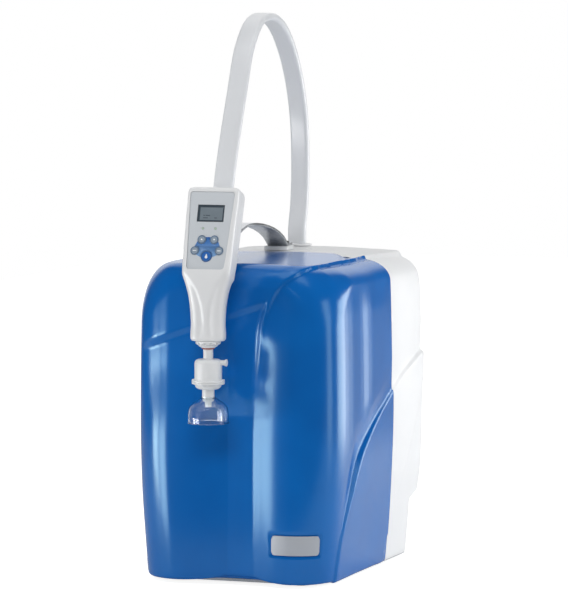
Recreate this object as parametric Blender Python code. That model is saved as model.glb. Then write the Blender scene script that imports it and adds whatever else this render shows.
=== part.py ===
"""Bench-top ultrapure water system with a hanging dispensing handset.

The frame has +X to the right, -Y to the front and +Z up, in metres, with the
origin on the bench under the middle of the whole object.
"""

import math

import bmesh
import bpy
from mathutils import Matrix, Vector

# Cabinet
CABINET_WIDTH = 0.302
CABINET_DEPTH = 0.429
CABINET_HEIGHT = 0.450
COVER_DEPTH = 0.267
WALL = 0.003
GAP = 0.0003
OVERRUN = 0.004
WAIST_HEIGHT = 0.225
BOTTOM_TUCK = 0.006
SHOULDER_TUCK = 0.003
TOP_RADIUS = 0.037
FRONT_CORNER_RADIUS = 0.062
REAR_CORNER_RADIUS = 0.045
CROWN = 0.005
BAY_HEIGHT = 0.084
BAY_DEPTH = 0.032
BAY_RISE = 0.014

# Sculpted relief: a sweeping line with a channel beside it, and a ledge on both sides.
# Its places are unrolled: round from the front's middle, and up the wall and over the top.
SWEEP_ROUND_SHARES = (0.126, 0.123, 0.123, 0.126, 0.136, 0.152, 0.169, 0.199, 0.238, 0.291,
                      0.371, 0.490, 0.629, 0.762, 1.093, 1.470, 1.987)
SWEEP_RISE_SHARES = (-0.089, 0.151, 0.398, 0.522, 0.647, 0.756, 0.818, 0.880, 0.929, 0.969,
                     1.004, 1.031, 1.047, 1.056, 1.051, 1.040, 1.022)
SWEEP_TURN_SHARE = 0.767
SWEEP_STEP_HEIGHT = 0.0055
SWEEP_STEP_WIDTH = 0.008
SWEEP_STEP_FADE = 0.060
RIDGE_HEIGHT = 0.0022
RIDGE_WIDTH = 0.045
RIDGE_BACK = 0.012
CHANNEL_DEPTH = 0.009
CHANNEL_TOP_SHARE = 0.782
CHANNEL_RUN_OUT = 0.150
CREASE_PLACE = -0.005
CREASE_REACH = 0.078
BROW_DEPTH = 0.003
BROW_DROP = 0.040
BROW_WIDTH = 0.016
BROW_FADE = 0.110
BROW_SLOPE = 0.16
LEDGE_ROUND_SHARES = (0.563, 0.570, 0.583, 0.606, 0.652, 0.709, 0.752, 0.821, 0.950, 1.083,
                      1.232, 1.430, 1.656, 1.728, 1.805, 1.861, 1.901, 1.921, 1.927)
LEDGE_RISE_SHARES = (-0.089, 0.018, 0.100, 0.156, 0.222, 0.291, 0.347, 0.404, 0.460, 0.507,
                     0.551, 0.613, 0.667, 0.673, 0.653, 0.600, 0.522, 0.422, -0.044)
LEDGE_DEPTH_SHARES = (0.27, 0.30, 0.34, 0.43, 0.59, 0.79, 0.89, 0.98, 0.79, 0.60,
                      0.45, 0.37, 0.28, 0.20, 0.12, 0.06, 0.03, 0.0, 0.0)
LEDGE_DEPTH = 0.007
LEDGE_WIDTH = 0.006
LEDGE_FADE = 0.130
LEDGE_HOLLOW_FADE = 0.045
LEDGE_FADE_SHARE = 0.45
LEDGE_HOLLOW_SHARE = 0.35
LEDGE_SUNK_SHARE = 0.30

# Feet and sheet-metal frame
FOOT_RADIUS = 0.016
FOOT_HEIGHT = 0.006
FOOT_EDGE = 0.042
SHEET = 0.003
TRAY_THICKNESS = 0.004
FOOT_STUD_RADIUS = 0.005

# Badge plate on the front corner
BADGE_LENGTH = 0.068
BADGE_HEIGHT = 0.0265
BADGE_THICKNESS = 0.0012
BADGE_INSET = 0.024
BADGE_BOTTOM = 0.0475

# Connection panel, power inlet, switch and hose tails
WINDOW_WIDTH_SHARE = 0.596
WINDOW_HEIGHT = 0.062
WINDOW_BOTTOM = 0.016
PANEL_MARGIN = 0.006
TAIL_PLACE_SHARES = (-0.400, -0.256, -0.111)
TAIL_RADIUS = 0.0045
TAIL_BORE = 0.0018
TAIL_LENGTH = 0.018
TAIL_HEX_RADIUS = 0.009
TAIL_HEX_LENGTH = 0.006
INLET_WIDTH = 0.030
INLET_HEIGHT = 0.024
INLET_DEPTH = 0.020
INLET_RIM = 0.0025
INLET_LIP = 0.004
INLET_PLACE_SHARE = 0.211
INLET_PIN_WIDTH = 0.002
INLET_PIN_HEIGHT = 0.004
INLET_PIN_LENGTH = 0.012
INLET_PIN_PITCH = 0.007
SWITCH_PLACE_SHARE = 0.411
SWITCH_WIDTH = 0.015
SWITCH_HEIGHT = 0.022
SWITCH_RIM = 0.002
SWITCH_TRAVEL_DEG = 12.0
ROCKER_DEPTH = 0.008
ROCKER_PROUD = 0.0025
VENT_COUNT = 9
VENT_WIDTH = 0.110
VENT_SLOT = 0.004
VENT_PITCH = 0.011
VENT_BOTTOM = 0.215

# Handset place and body
COVER_TO_BELL = 0.014
HANDSET_X = -0.0132
HANDSET_TURN_DEG = 3.5
HANDSET_BOTTOM = 0.348
HANDSET_WALL = 0.0022
HANDLE_LENGTH = 0.087
HANDLE_WIDTH = 0.050
HANDLE_DEPTH = 0.033
HANDLE_CORNER = 0.014
HEAD_LENGTH = 0.1255
HEAD_WIDTH = 0.0735
HEAD_DEPTH = 0.037
HEAD_CORNER = 0.006
HEAD_TILT_DEG = 20.0
HANDLE_LENGTH_SHARES = (0.0, 0.07, 0.25, 0.50, 0.72, 0.88)
HANDLE_WIDTH_SHARES = (0.92, 0.99, 0.96, 1.0, 1.10, 1.24)
HANDLE_DEPTH_SHARES = (0.86, 0.95, 0.93, 0.96, 1.02, 1.08)
HEAD_LENGTH_SHARES = (0.02, 0.45, 0.93, 0.985, 1.0)
HEAD_WIDTH_SHARES = (0.945, 0.97, 1.0, 0.965, 0.89)
HEAD_DEPTH_SHARES = (1.0, 1.0, 1.0, 0.93, 0.76)

# Keypad, keys and display on the head
PANEL_LENGTH = 0.111
PANEL_TOP_WIDTH = 0.064
PANEL_BOTTOM_WIDTH = 0.0535
PANEL_TOP_MARGIN = 0.0078
PANEL_CORNER = 0.005
PANEL_THICKNESS = 0.0022
PANEL_SUNK = 0.0005
DISPLAY_WIDTH = 0.038
DISPLAY_HEIGHT = 0.024
DISPLAY_DROP = 0.0386
LIGHT_RADIUS = 0.0015
LIGHT_DROP = 0.0604
LIGHT_OFFSET = 0.0090
KEY_RADIUS = 0.006
KEY_TRAVEL = 0.0008
KEY_PROUD = 0.0009
UPPER_KEY_DROP = 0.0764
UPPER_KEY_OFFSET = 0.0090
LOWER_KEY_DROP = 0.0924
LOWER_KEY_OFFSET = 0.0176
DISPENSE_KEY_RADIUS = 0.0078
DISPENSE_KEY_DROP = 0.1004
BOARD_THICKNESS = 0.0016
BOARD_CLEARANCE = 0.0005
BOARD_MARGIN = 0.003
VALVE_RADIUS = 0.010
VALVE_LENGTH = 0.034

# Outlet, final filter and bell, top to bottom
NUT_RADIUS = 0.0175
NUT_HEIGHT = 0.0055
NUT_RIB_COUNT = 12
NUT_RIB_DEPTH = 0.0012
CONE_HEIGHT = 0.004
CONE_RADIUS = 0.014
SEAL_HEIGHT = 0.0012
SEAL_RADIUS = 0.0088
SEAL_BORE = 0.0056
NECK_RADIUS = 0.0068
SPIGOT_RADIUS = 0.0052
FILTER_NECK_LENGTH = 0.0149
FILTER_RADIUS = 0.0190
FILTER_HEIGHT = 0.035
FILTER_DOME = 0.006
FLANGE_RADIUS = 0.0220
FLANGE_HEIGHT = 0.0055
LOWER_DOME_HEIGHT = 0.007
OUTLET_RADIUS = 0.0085
OUTLET_LENGTH = 0.0142
FILTER_WALL = 0.0018
MEMBRANE_THICKNESS = 0.002
VENT_CAP_RADIUS = 0.0050
VENT_CAP_LENGTH = 0.008
VENT_CAP_DROP = 0.0047
BELL_RADIUS = 0.0285
BELL_HEIGHT = 0.037
BELL_SHOULDER = 0.016
BELL_COLLAR = 0.004
BELL_WALL = 0.0016
NOZZLE_RADIUS = 0.0048
NOZZLE_BORE = 0.0018
NOZZLE_LENGTH = 0.010
NOZZLE_BASE = 0.003

# Holder arm and hose
HOLDER_BACK = 0.033
ARM_WIDTH = 0.031
ARM_THICKNESS = 0.0035
ARM_RISE = 0.0275
ARM_STEPS = 14
PLATE_HEIGHT = 0.034
PLATE_TOP_SHARE = 0.42
HOLDER_BASE_LENGTH = 0.034
HOLDER_BASE_WIDTH = 0.036
HOLDER_BASE_HEIGHT = 0.006
HOOK_WIDTH = 0.038
HOOK_WALL = 0.0025
HOOK_HEIGHT = 0.030
HOOK_LIP = 0.006
HOOK_REACH = 0.012
HOSE_WIDTH = 0.029
HOSE_THICKNESS = 0.011
HOSE_STEPS = 45
HOSE_CORNER_SHARE = 0.45
SOCKET_WALL = 0.0022
SOCKET_LENGTH = 0.026
COLLAR_WALL = 0.0025
COLLAR_FLANGE = 0.004
COLLAR_FLANGE_HEIGHT = 0.003
COLLAR_DEPTH = 0.024
COLLAR_BACK = 0.039
COLLAR_X = -0.0385
COLLAR_TURN_DEG = -12.0
HOSE_RISE = 0.335
HOSE_SIDE_SHARES = (-0.035, 0.101, 0.246, 0.408, 0.608, 0.744, 0.885, 1.004, 1.051, 1.034)
HOSE_BACK_SHARES = (0.154, 0.269, 0.389, 0.525, 0.695, 0.809, 0.927, 1.018, 1.047, 1.030)
HOSE_RISE_SHARES = (0.687, 0.887, 0.976, 1.0, 0.963, 0.890, 0.761, 0.576, 0.364, 0.173)

# Purification train inside the front cover
CARTRIDGE_RADIUS = 0.044
CARTRIDGE_HEIGHT = 0.300
CARTRIDGE_CAP_RADIUS = 0.030
CARTRIDGE_CAP_HEIGHT = 0.022
CARTRIDGE_X = 0.056
CLIP_THICKNESS = 0.006
CLIP_HEIGHT = 0.020
CLIP_LEVEL = 0.210
TUBE_RADIUS = 0.004
PORT_LENGTH = 0.012
LINK_RISE = 0.030

# Works behind the bulkhead
PUMP_RADIUS = 0.026
PUMP_LENGTH_SHARE = 0.190
MOTOR_RADIUS = 0.022
MOTOR_LENGTH_SHARE = 0.227
SUPPLY_WIDTH_SHARE = 0.303
SUPPLY_DEPTH = 0.050
SUPPLY_HEIGHT = 0.110
BOARD_WIDTH = 0.150
BOARD_HEIGHT = 0.120
BOARD_LEVEL = 0.290
STANDOFF_RADIUS = 0.004
STANDOFF_LENGTH = 0.008
LAMP_RADIUS = 0.024
LAMP_LENGTH = 0.240
ULTRAFILTER_RADIUS = 0.020
ULTRAFILTER_LENGTH = 0.190
WORKS_SIDE_GAP = 0.0097
WORKS_SPACING = 0.008
MANIFOLD_DEPTH = 0.024
MANIFOLD_HEIGHT = 0.030
MANIFOLD_LEVEL = 0.180
SOLENOID_RADIUS = 0.012
SOLENOID_HEIGHT = 0.034
CELL_RADIUS = 0.007
CELL_LENGTH = 0.030

# Mesh fineness
COVER_LEVELS = 26
COVER_SIDE_STEPS = 13
COVER_FACE_SHARES = (0.83, 0.67, 0.56, 0.48, 0.43, 0.37, 0.27, 0.16, 0.05, -0.06, -0.17, -0.31,
                     -0.49, -0.70, -0.88)
HOUSING_LEVELS = 11
HOUSING_SIDE_STEPS = 7
HOUSING_FACE_SHARES = (0.5, 0.0, -0.5)
ARC_STEPS = 6
HANDSET_SIDE_STEPS = 1
HANDSET_ARC_STEPS = 3
HANDSET_FACE_SHARES = (0.0,)
TOP_ARC_STEPS = 5
CAP_SHARES = (0.06, 0.15, 0.40, 0.75)
ROUND_SEGMENTS = 32
MEDIUM_SEGMENTS = 24
SMALL_SEGMENTS = 20
TAIL_SEGMENTS = 12

# Places that follow from the sizes above
TOTAL_DEPTH = CABINET_DEPTH + COVER_TO_BELL + 2.0 * BELL_RADIUS
REAR_Y = TOTAL_DEPTH / 2.0
FRONT_Y = REAR_Y - CABINET_DEPTH
SEAM_Y = FRONT_Y + COVER_DEPTH
HANDSET_Y = -TOTAL_DEPTH / 2.0 + BELL_RADIUS
SKIRT_Z = FOOT_HEIGHT
TRAY_Z = SKIRT_Z + GAP
TRAY_TOP = TRAY_Z + TRAY_THICKNESS
SHOULDER_Z = CABINET_HEIGHT - TOP_RADIUS
BULKHEAD_FRONT = SEAM_Y - SHEET / 2.0
BULKHEAD_BACK = SEAM_Y + SHEET / 2.0
BAY_Y = REAR_Y - BAY_DEPTH
PANEL_Y = BAY_Y - WALL - GAP - SHEET
PANEL_FACE_Y = PANEL_Y + SHEET
WINDOW_WIDTH = CABINET_WIDTH * WINDOW_WIDTH_SHARE
INLET_X = WINDOW_WIDTH * INLET_PLACE_SHARE
SWITCH_X = WINDOW_WIDTH * SWITCH_PLACE_SHARE
BADGE_START = CABINET_WIDTH / 2.0 - FRONT_CORNER_RADIUS - BADGE_INSET
WORKS_HALF = CABINET_WIDTH / 2.0 - BOTTOM_TUCK - WALL - GAP - WORKS_SIDE_GAP
PUMP_LENGTH = 2.0 * WORKS_HALF * PUMP_LENGTH_SHARE
MOTOR_LENGTH = 2.0 * WORKS_HALF * MOTOR_LENGTH_SHARE
SUPPLY_WIDTH = 2.0 * WORKS_HALF * SUPPLY_WIDTH_SHARE
SUPPLY_X = WORKS_HALF - SUPPLY_WIDTH / 2.0
ULTRAFILTER_X = ULTRAFILTER_RADIUS - WORKS_HALF
LAMP_X = (PUMP_LENGTH + MOTOR_LENGTH - SUPPLY_WIDTH) / 2.0
MANIFOLD_LEFT = ULTRAFILTER_X + ULTRAFILTER_RADIUS + WORKS_SPACING
MANIFOLD_WIDTH = LAMP_X - LAMP_RADIUS - GAP - MANIFOLD_LEFT
MANIFOLD_X = MANIFOLD_LEFT + MANIFOLD_WIDTH / 2.0
SWEEP_LINE = [(CABINET_WIDTH * around, CABINET_HEIGHT * rise)
              for around, rise in zip(SWEEP_ROUND_SHARES, SWEEP_RISE_SHARES)]
LEDGE_LINE = [(CABINET_WIDTH * around, CABINET_HEIGHT * rise)
              for around, rise in zip(LEDGE_ROUND_SHARES, LEDGE_RISE_SHARES)]
WALL_START = CABINET_WIDTH / 2.0 - FRONT_CORNER_RADIUS + FRONT_CORNER_RADIUS * math.pi / 2.0
SEAM_ROUND = WALL_START + COVER_DEPTH - FRONT_CORNER_RADIUS
HEAD_TILT = math.radians(HEAD_TILT_DEG)
HANDSET_TURN = math.radians(HANDSET_TURN_DEG)


def clear_scene():
    """Remove whatever objects the file holds."""
    for item in list(bpy.data.objects):
        bpy.data.objects.remove(item, do_unlink=True)


def make_material(name, color, roughness, metallic=0.0, alpha=1.0):
    """Return a Principled material."""
    material = bpy.data.materials.new(name)
    material.use_nodes = True
    shader = material.node_tree.nodes["Principled BSDF"]
    shader.inputs["Base Color"].default_value = (*color, 1.0)
    shader.inputs["Roughness"].default_value = roughness
    shader.inputs["Metallic"].default_value = metallic
    shader.inputs["Alpha"].default_value = alpha
    return material


def make_empty(name, location, rotation=(0.0, 0.0, 0.0), parent=None):
    """Return an empty that carries other pieces."""
    empty = bpy.data.objects.new(name, None)
    bpy.context.scene.collection.objects.link(empty)
    empty.location = location
    empty.rotation_euler = rotation
    empty.parent = parent
    return empty


def object_from_bmesh(name, mesh_data, material, parent=None, location=(0.0, 0.0, 0.0)):
    """Turn a bmesh into a named object with its faces pointing out."""
    bmesh.ops.recalc_face_normals(mesh_data, faces=mesh_data.faces[:])
    mesh = bpy.data.meshes.new(name)
    mesh_data.to_mesh(mesh)
    mesh_data.free()
    mesh.shade_smooth()
    mesh.set_sharp_from_angle(angle=math.radians(35.0))
    piece = bpy.data.objects.new(name, mesh)
    bpy.context.scene.collection.objects.link(piece)
    if material is not None:
        mesh.materials.append(material)
    piece.location = location
    piece.parent = parent
    return piece


def make_cutter(name, mesh_data, parent=None, location=(0.0, 0.0, 0.0)):
    """Return an object that only cuts others."""
    cutter = object_from_bmesh(name, mesh_data, None, parent, location)
    cutter.hide_render = True
    cutter.display_type = "WIRE"
    return cutter


def cut(piece, cutter):
    """Subtract a cutter from a piece."""
    modifier = piece.modifiers.new("cut_" + cutter.name, "BOOLEAN")
    modifier.operation = "DIFFERENCE"
    modifier.solver = "EXACT"
    modifier.object = cutter


def join(piece, other):
    """Join a helper solid to a piece."""
    modifier = piece.modifiers.new("join_" + other.name, "BOOLEAN")
    modifier.operation = "UNION"
    modifier.solver = "EXACT"
    modifier.object = other


def axis_point(axis, first, second, along):
    """Place a flat outline's point, with the given axis along its normal."""
    if axis == "X":
        return (along, first, second)
    if axis == "Y":
        return (first, along, second)
    return (first, second, along)


def add_prism(mesh_data, outline, low, high, axis="Z"):
    """Add an outline extruded from low to high along an axis."""
    bottom = [mesh_data.verts.new(axis_point(axis, a, b, low)) for a, b in outline]
    top = [mesh_data.verts.new(axis_point(axis, a, b, high)) for a, b in outline]
    mesh_data.faces.new(bottom)
    mesh_data.faces.new(top)
    for index in range(len(outline)):
        after = (index + 1) % len(outline)
        mesh_data.faces.new((bottom[index], bottom[after], top[after], top[index]))


def add_turned(mesh_data, profile, segments, center=(0.0, 0.0), axis="Z"):
    """Add a profile of (radius, along) points turned about an axis.

    A profile whose ends have no radius is solid, and any other is a closed ring.
    """
    solid = profile[0][0] == 0.0
    rings = []
    for radius, along in profile:
        if radius == 0.0:
            rings.append([mesh_data.verts.new(axis_point(axis, center[0], center[1], along))])
            continue
        ring = []
        for step in range(segments):
            angle = 2.0 * math.pi * step / segments
            first = center[0] + radius * math.cos(angle)
            second = center[1] + radius * math.sin(angle)
            ring.append(mesh_data.verts.new(axis_point(axis, first, second, along)))
        rings.append(ring)
    pairs = list(zip(rings, rings[1:]))
    if not solid:
        pairs.append((rings[-1], rings[0]))
    for ring, other in pairs:
        for step in range(segments):
            after = (step + 1) % segments
            if len(ring) == 1:
                mesh_data.faces.new((ring[0], other[after], other[step]))
            elif len(other) == 1:
                mesh_data.faces.new((ring[step], ring[after], other[0]))
            else:
                mesh_data.faces.new((ring[step], ring[after], other[after], other[step]))


def prism(name, outline, low, high, material, axis="Z", parent=None, location=(0.0, 0.0, 0.0)):
    """Return an extruded piece."""
    mesh_data = bmesh.new()
    add_prism(mesh_data, outline, low, high, axis)
    return object_from_bmesh(name, mesh_data, material, parent, location)


def turned(name, profile, material, parent=None, location=(0.0, 0.0, 0.0),
           segments=ROUND_SEGMENTS, axis="Z"):
    """Return a turned piece."""
    mesh_data = bmesh.new()
    add_turned(mesh_data, profile, segments, axis=axis)
    return object_from_bmesh(name, mesh_data, material, parent, location)


def rectangle(width, height, center=(0.0, 0.0)):
    """Return the four corners of a rectangle."""
    x, y = center
    return [(x - width / 2.0, y - height / 2.0), (x + width / 2.0, y - height / 2.0),
            (x + width / 2.0, y + height / 2.0), (x - width / 2.0, y + height / 2.0)]


def rounded_rectangle(width, height, radius, center=(0.0, 0.0), steps=4):
    """Return a rectangle's outline with quarter-circle corners."""
    points = []
    corners = ((1, 1, 0.0), (-1, 1, 90.0), (-1, -1, 180.0), (1, -1, 270.0))
    for x_side, y_side, start in corners:
        corner_x = center[0] + x_side * (width / 2.0 - radius)
        corner_y = center[1] + y_side * (height / 2.0 - radius)
        for step in range(steps + 1):
            angle = math.radians(start + 90.0 * step / steps)
            points.append((corner_x + radius * math.cos(angle), corner_y + radius * math.sin(angle)))
    return points


def circle(radius, center=(0.0, 0.0), segments=SMALL_SEGMENTS):
    """Return a circle's outline."""
    points = []
    for step in range(segments):
        angle = 2.0 * math.pi * step / segments
        points.append((center[0] + radius * math.cos(angle), center[1] + radius * math.sin(angle)))
    return points


def rod(radius, low, high):
    """Return the profile of a plain round rod."""
    return [(0.0, low), (radius, low), (radius, high), (0.0, high)]


def ring_profile(outer, inner, low, high):
    """Return the profile of a plain ring."""
    return [(outer, high), (outer, low), (inner, low), (inner, high)]


def half_width(height):
    """Return the cabinet's half width, which swells gently to its waist."""
    if height < WAIST_HEIGHT:
        share = (WAIST_HEIGHT - height) / (WAIST_HEIGHT - SKIRT_Z)
        return CABINET_WIDTH / 2.0 - BOTTOM_TUCK * share * share
    share = (height - WAIST_HEIGHT) / (SHOULDER_Z - WAIST_HEIGHT)
    return CABINET_WIDTH / 2.0 - SHOULDER_TUCK * min(share, 1.0) ** 2


def u_places(half, seam, face, radius, side_steps, arc_steps, face_shares):
    """Return places from the seam round the face and back to it.

    Each is x, y, the outward normal's x and y, the kind of stretch and the share along it.
    """
    direction = 1.0 if face > seam else -1.0
    corner = (half - radius, face - direction * radius)
    right = []
    for step in range(side_steps):
        share = step / side_steps
        right.append((half, seam + (corner[1] - seam) * share, 1.0, 0.0, "side", share))
    for step in range(arc_steps + 1):
        angle = math.pi / 2.0 * step / arc_steps
        across, back = math.cos(angle), direction * math.sin(angle)
        right.append((corner[0] + radius * across, corner[1] + radius * back, across, back,
                      "arc", step / arc_steps))
    middle = [(corner[0] * share, face, 0.0, direction, "face", share) for share in face_shares]
    left = [(-x, y, -across, back, kind, share) for x, y, across, back, kind, share in right]
    return right + middle + left[::-1]


def u_outline(*sizes):
    """Return the outline of the places from the seam round the face and back."""
    return [place[:2] for place in u_places(*sizes)]


def ease(share):
    """Return a share held between 0 and 1 and eased at both ends."""
    share = min(max(share, 0.0), 1.0)
    return share * share * (3.0 - 2.0 * share)


def nearest(line, around, rise):
    """Return a place's distance from a line, positive on its left, and how far along it lies."""
    best, signed, along = math.inf, 0.0, 0.0
    for index, (start, end) in enumerate(zip(line, line[1:])):
        run, climb = end[0] - start[0], end[1] - start[1]
        share = ((around - start[0]) * run + (rise - start[1]) * climb) / (run * run + climb * climb)
        share = min(max(share, 0.0), 1.0)
        away = math.hypot(around - start[0] - share * run, rise - start[1] - share * climb)
        if away < best:
            left = run * (rise - start[1]) - climb * (around - start[0])
            best, signed, along = away, math.copysign(away, left), index + share
    return signed, along


def between(values, place):
    """Return the value at a place along a list, between its neighbours."""
    index = min(int(place), len(values) - 2)
    return values[index] + (values[index + 1] - values[index]) * (place - index)


def front_relief(around, rise):
    """Return the relief of the sweeping line, the channel and the brow."""
    away, along = nearest(SWEEP_LINE, around, rise)
    turn = SWEEP_TURN_SHARE * CABINET_HEIGHT
    over = ease((between([place[1] for place in SWEEP_LINE], along) - turn) / SWEEP_STEP_FADE)
    if away < 0.0:
        step = SWEEP_STEP_HEIGHT * over * ease(-away / SWEEP_STEP_WIDTH)
        step *= 1.0 - ease((-away - SWEEP_STEP_WIDTH) / SWEEP_STEP_FADE)
        return RIDGE_HEIGHT * (1.0 - over) * (1.0 - ease(-away / RIDGE_WIDTH)) - step
    depth = CHANNEL_DEPTH * ease((CHANNEL_TOP_SHARE * CABINET_HEIGHT - rise) / CHANNEL_RUN_OUT)
    if around > CREASE_PLACE:
        line = SWEEP_LINE[1][0]
        channel = depth * min(max((line - around) / (line - CREASE_PLACE), 0.0), 1.0)
    else:
        channel = depth * (1.0 - min((CREASE_PLACE - around) / CREASE_REACH, 1.0)) ** 2
    brow = turn + BROW_SLOPE * (around + CABINET_WIDTH / 2.0) - rise
    corner = CABINET_WIDTH / 2.0 + around
    brow_depth = BROW_DEPTH * ease(brow / BROW_WIDTH) * (1.0 - ease((brow - BROW_DROP) / BROW_FADE))
    brow_depth *= ease(corner / BROW_FADE) * ease(away / RIDGE_BACK)
    ridge = RIDGE_HEIGHT * (1.0 - over) * (1.0 - ease(away / RIDGE_BACK))
    return ridge - channel - brow_depth


def ledge_relief(around, rise):
    """Return the relief of the ledge that climbs a side and turns down behind it."""
    away, along = nearest(LEDGE_LINE, around, rise)
    depth = LEDGE_DEPTH * between(LEDGE_DEPTH_SHARES, along)
    if away > 0.0:
        return -LEDGE_HOLLOW_SHARE * depth * (1.0 - ease(away / LEDGE_HOLLOW_FADE))
    proud = ease(-away / LEDGE_WIDTH) * (1.0 - LEDGE_FADE_SHARE * ease(-away / LEDGE_FADE))
    return depth * (proud * (1.0 + LEDGE_HOLLOW_SHARE) - LEDGE_HOLLOW_SHARE - LEDGE_SUNK_SHARE * proud)


def relief(around, rise):
    """Return how far the cabinet's surface stands out at an unrolled place."""
    return front_relief(around, rise) + ledge_relief(abs(around), rise)


def shell_from_rows(name, outer, inner, outer_tip, inner_tip, material, parent=None):
    """Return a closed shell from rows of points that end in a tip."""
    mesh_data = bmesh.new()
    columns = len(outer[0])
    outer_rows = [[mesh_data.verts.new(point) for point in row] for row in outer]
    inner_rows = [[mesh_data.verts.new(point) for point in row] for row in inner]
    tips = (mesh_data.verts.new(outer_tip), mesh_data.verts.new(inner_tip))
    for rows, tip in zip((outer_rows, inner_rows), tips):
        for row, above in zip(rows, rows[1:]):
            for column in range(columns - 1):
                mesh_data.faces.new((row[column], row[column + 1], above[column + 1], above[column]))
        for column in range(columns - 1):
            mesh_data.faces.new((rows[-1][column], rows[-1][column + 1], tip))
    for column in range(columns - 1):
        mesh_data.faces.new((outer_rows[0][column], outer_rows[0][column + 1],
                             inner_rows[0][column + 1], inner_rows[0][column]))
    for side in (0, columns - 1):
        for index in range(len(outer_rows) - 1):
            mesh_data.faces.new((outer_rows[index][side], outer_rows[index + 1][side],
                                 inner_rows[index + 1][side], inner_rows[index][side]))
        mesh_data.faces.new((outer_rows[-1][side], tips[0], tips[1], inner_rows[-1][side]))
    return object_from_bmesh(name, mesh_data, material, parent)


def crowned(point, weight):
    """Lower a point of the top by the crown's fall towards the sides."""
    x, y, z = point
    fall = CROWN * (2.0 * x / CABINET_WIDTH) ** 2
    return (x, y, z - fall * weight)


def cabinet_rows(levels, face_at, seam, corner_radius, inset, side_steps, face_shares):
    """Return the rows and the tip of one cabinet shell's surface."""
    direction = 1.0 if face_at(CABINET_HEIGHT) > seam else -1.0
    edge_radius = TOP_RADIUS - inset
    rows = []

    def turn_round(kind, share, height):
        straight = half_width(min(height, SHOULDER_Z)) - corner_radius
        corner = WALL_START + face_at(height) - direction * corner_radius - FRONT_Y
        corner -= FRONT_CORNER_RADIUS
        if kind == "side":
            return SEAM_ROUND + (corner - SEAM_ROUND) * share
        if direction < 0.0 and kind == "face":
            return straight * share
        if direction < 0.0:
            return straight + (WALL_START - straight) * (1.0 - share)
        quarter = corner_radius * math.pi / 2.0
        if kind == "arc":
            return corner + quarter * share
        return corner + quarter + straight * (1.0 - abs(share))

    def add_row(height, extra, tilt):
        half = half_width(min(height, SHOULDER_Z)) - inset - extra
        face = face_at(height) - direction * (inset + extra)
        radius = max(corner_radius - inset - extra, corner_radius / 4.0)
        places = u_places(half, seam, face, radius, side_steps, ARC_STEPS, face_shares)
        rise = min(height, SHOULDER_Z) + TOP_RADIUS * tilt
        row = []
        for index, (x, y, across, back, kind, share) in enumerate(places):
            side = -1.0 if index > len(places) // 2 and kind != "face" else 1.0
            around = side * turn_round(kind, share, height)
            out = relief(around, rise)
            flat = out * math.cos(tilt)
            point = (x + across * flat, y + back * flat, height + out * math.sin(tilt))
            row.append(crowned(point, math.sin(tilt)))
            if tilt == math.pi / 2.0:
                rim.append((x, y, around))
        rows.append(row)

    rim = []
    for level in levels:
        add_row(level, 0.0, 0.0)
    for step in range(1, TOP_ARC_STEPS + 1):
        angle = math.pi / 2.0 * step / TOP_ARC_STEPS
        extra = edge_radius * (1.0 - math.cos(angle))
        add_row(SHOULDER_Z + edge_radius * math.sin(angle), extra, angle)
    top = CABINET_HEIGHT - inset
    for share in CAP_SHARES:
        row = []
        for x, y, around in rim:
            rise = SHOULDER_Z + TOP_RADIUS * math.pi / 2.0 + math.hypot(x, y - seam) * share
            height = top + relief(around, rise)
            row.append(crowned((x * (1.0 - share), y + (seam - y) * share, height), 1.0))
        rows.append(row)
    return rows, (0.0, seam, top)


def cover_levels():
    """Return the heights of the plain rows up the sides."""
    climb = (SHOULDER_Z - SKIRT_Z) / COVER_LEVELS
    return [SKIRT_Z + climb * step for step in range(COVER_LEVELS + 1)]


def make_front_cover(material):
    """Return the deep blue front cover."""
    seam = SEAM_Y - GAP / 2.0

    def face_at(_):
        return FRONT_Y

    outer, outer_tip = cabinet_rows(cover_levels(), face_at, seam, FRONT_CORNER_RADIUS, 0.0,
                                    COVER_SIDE_STEPS, COVER_FACE_SHARES)
    inner, inner_tip = cabinet_rows(cover_levels(), face_at, seam, FRONT_CORNER_RADIUS, WALL,
                                    COVER_SIDE_STEPS, COVER_FACE_SHARES)
    return shell_from_rows("front_cover", outer, inner, outer_tip, inner_tip, material)


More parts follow.
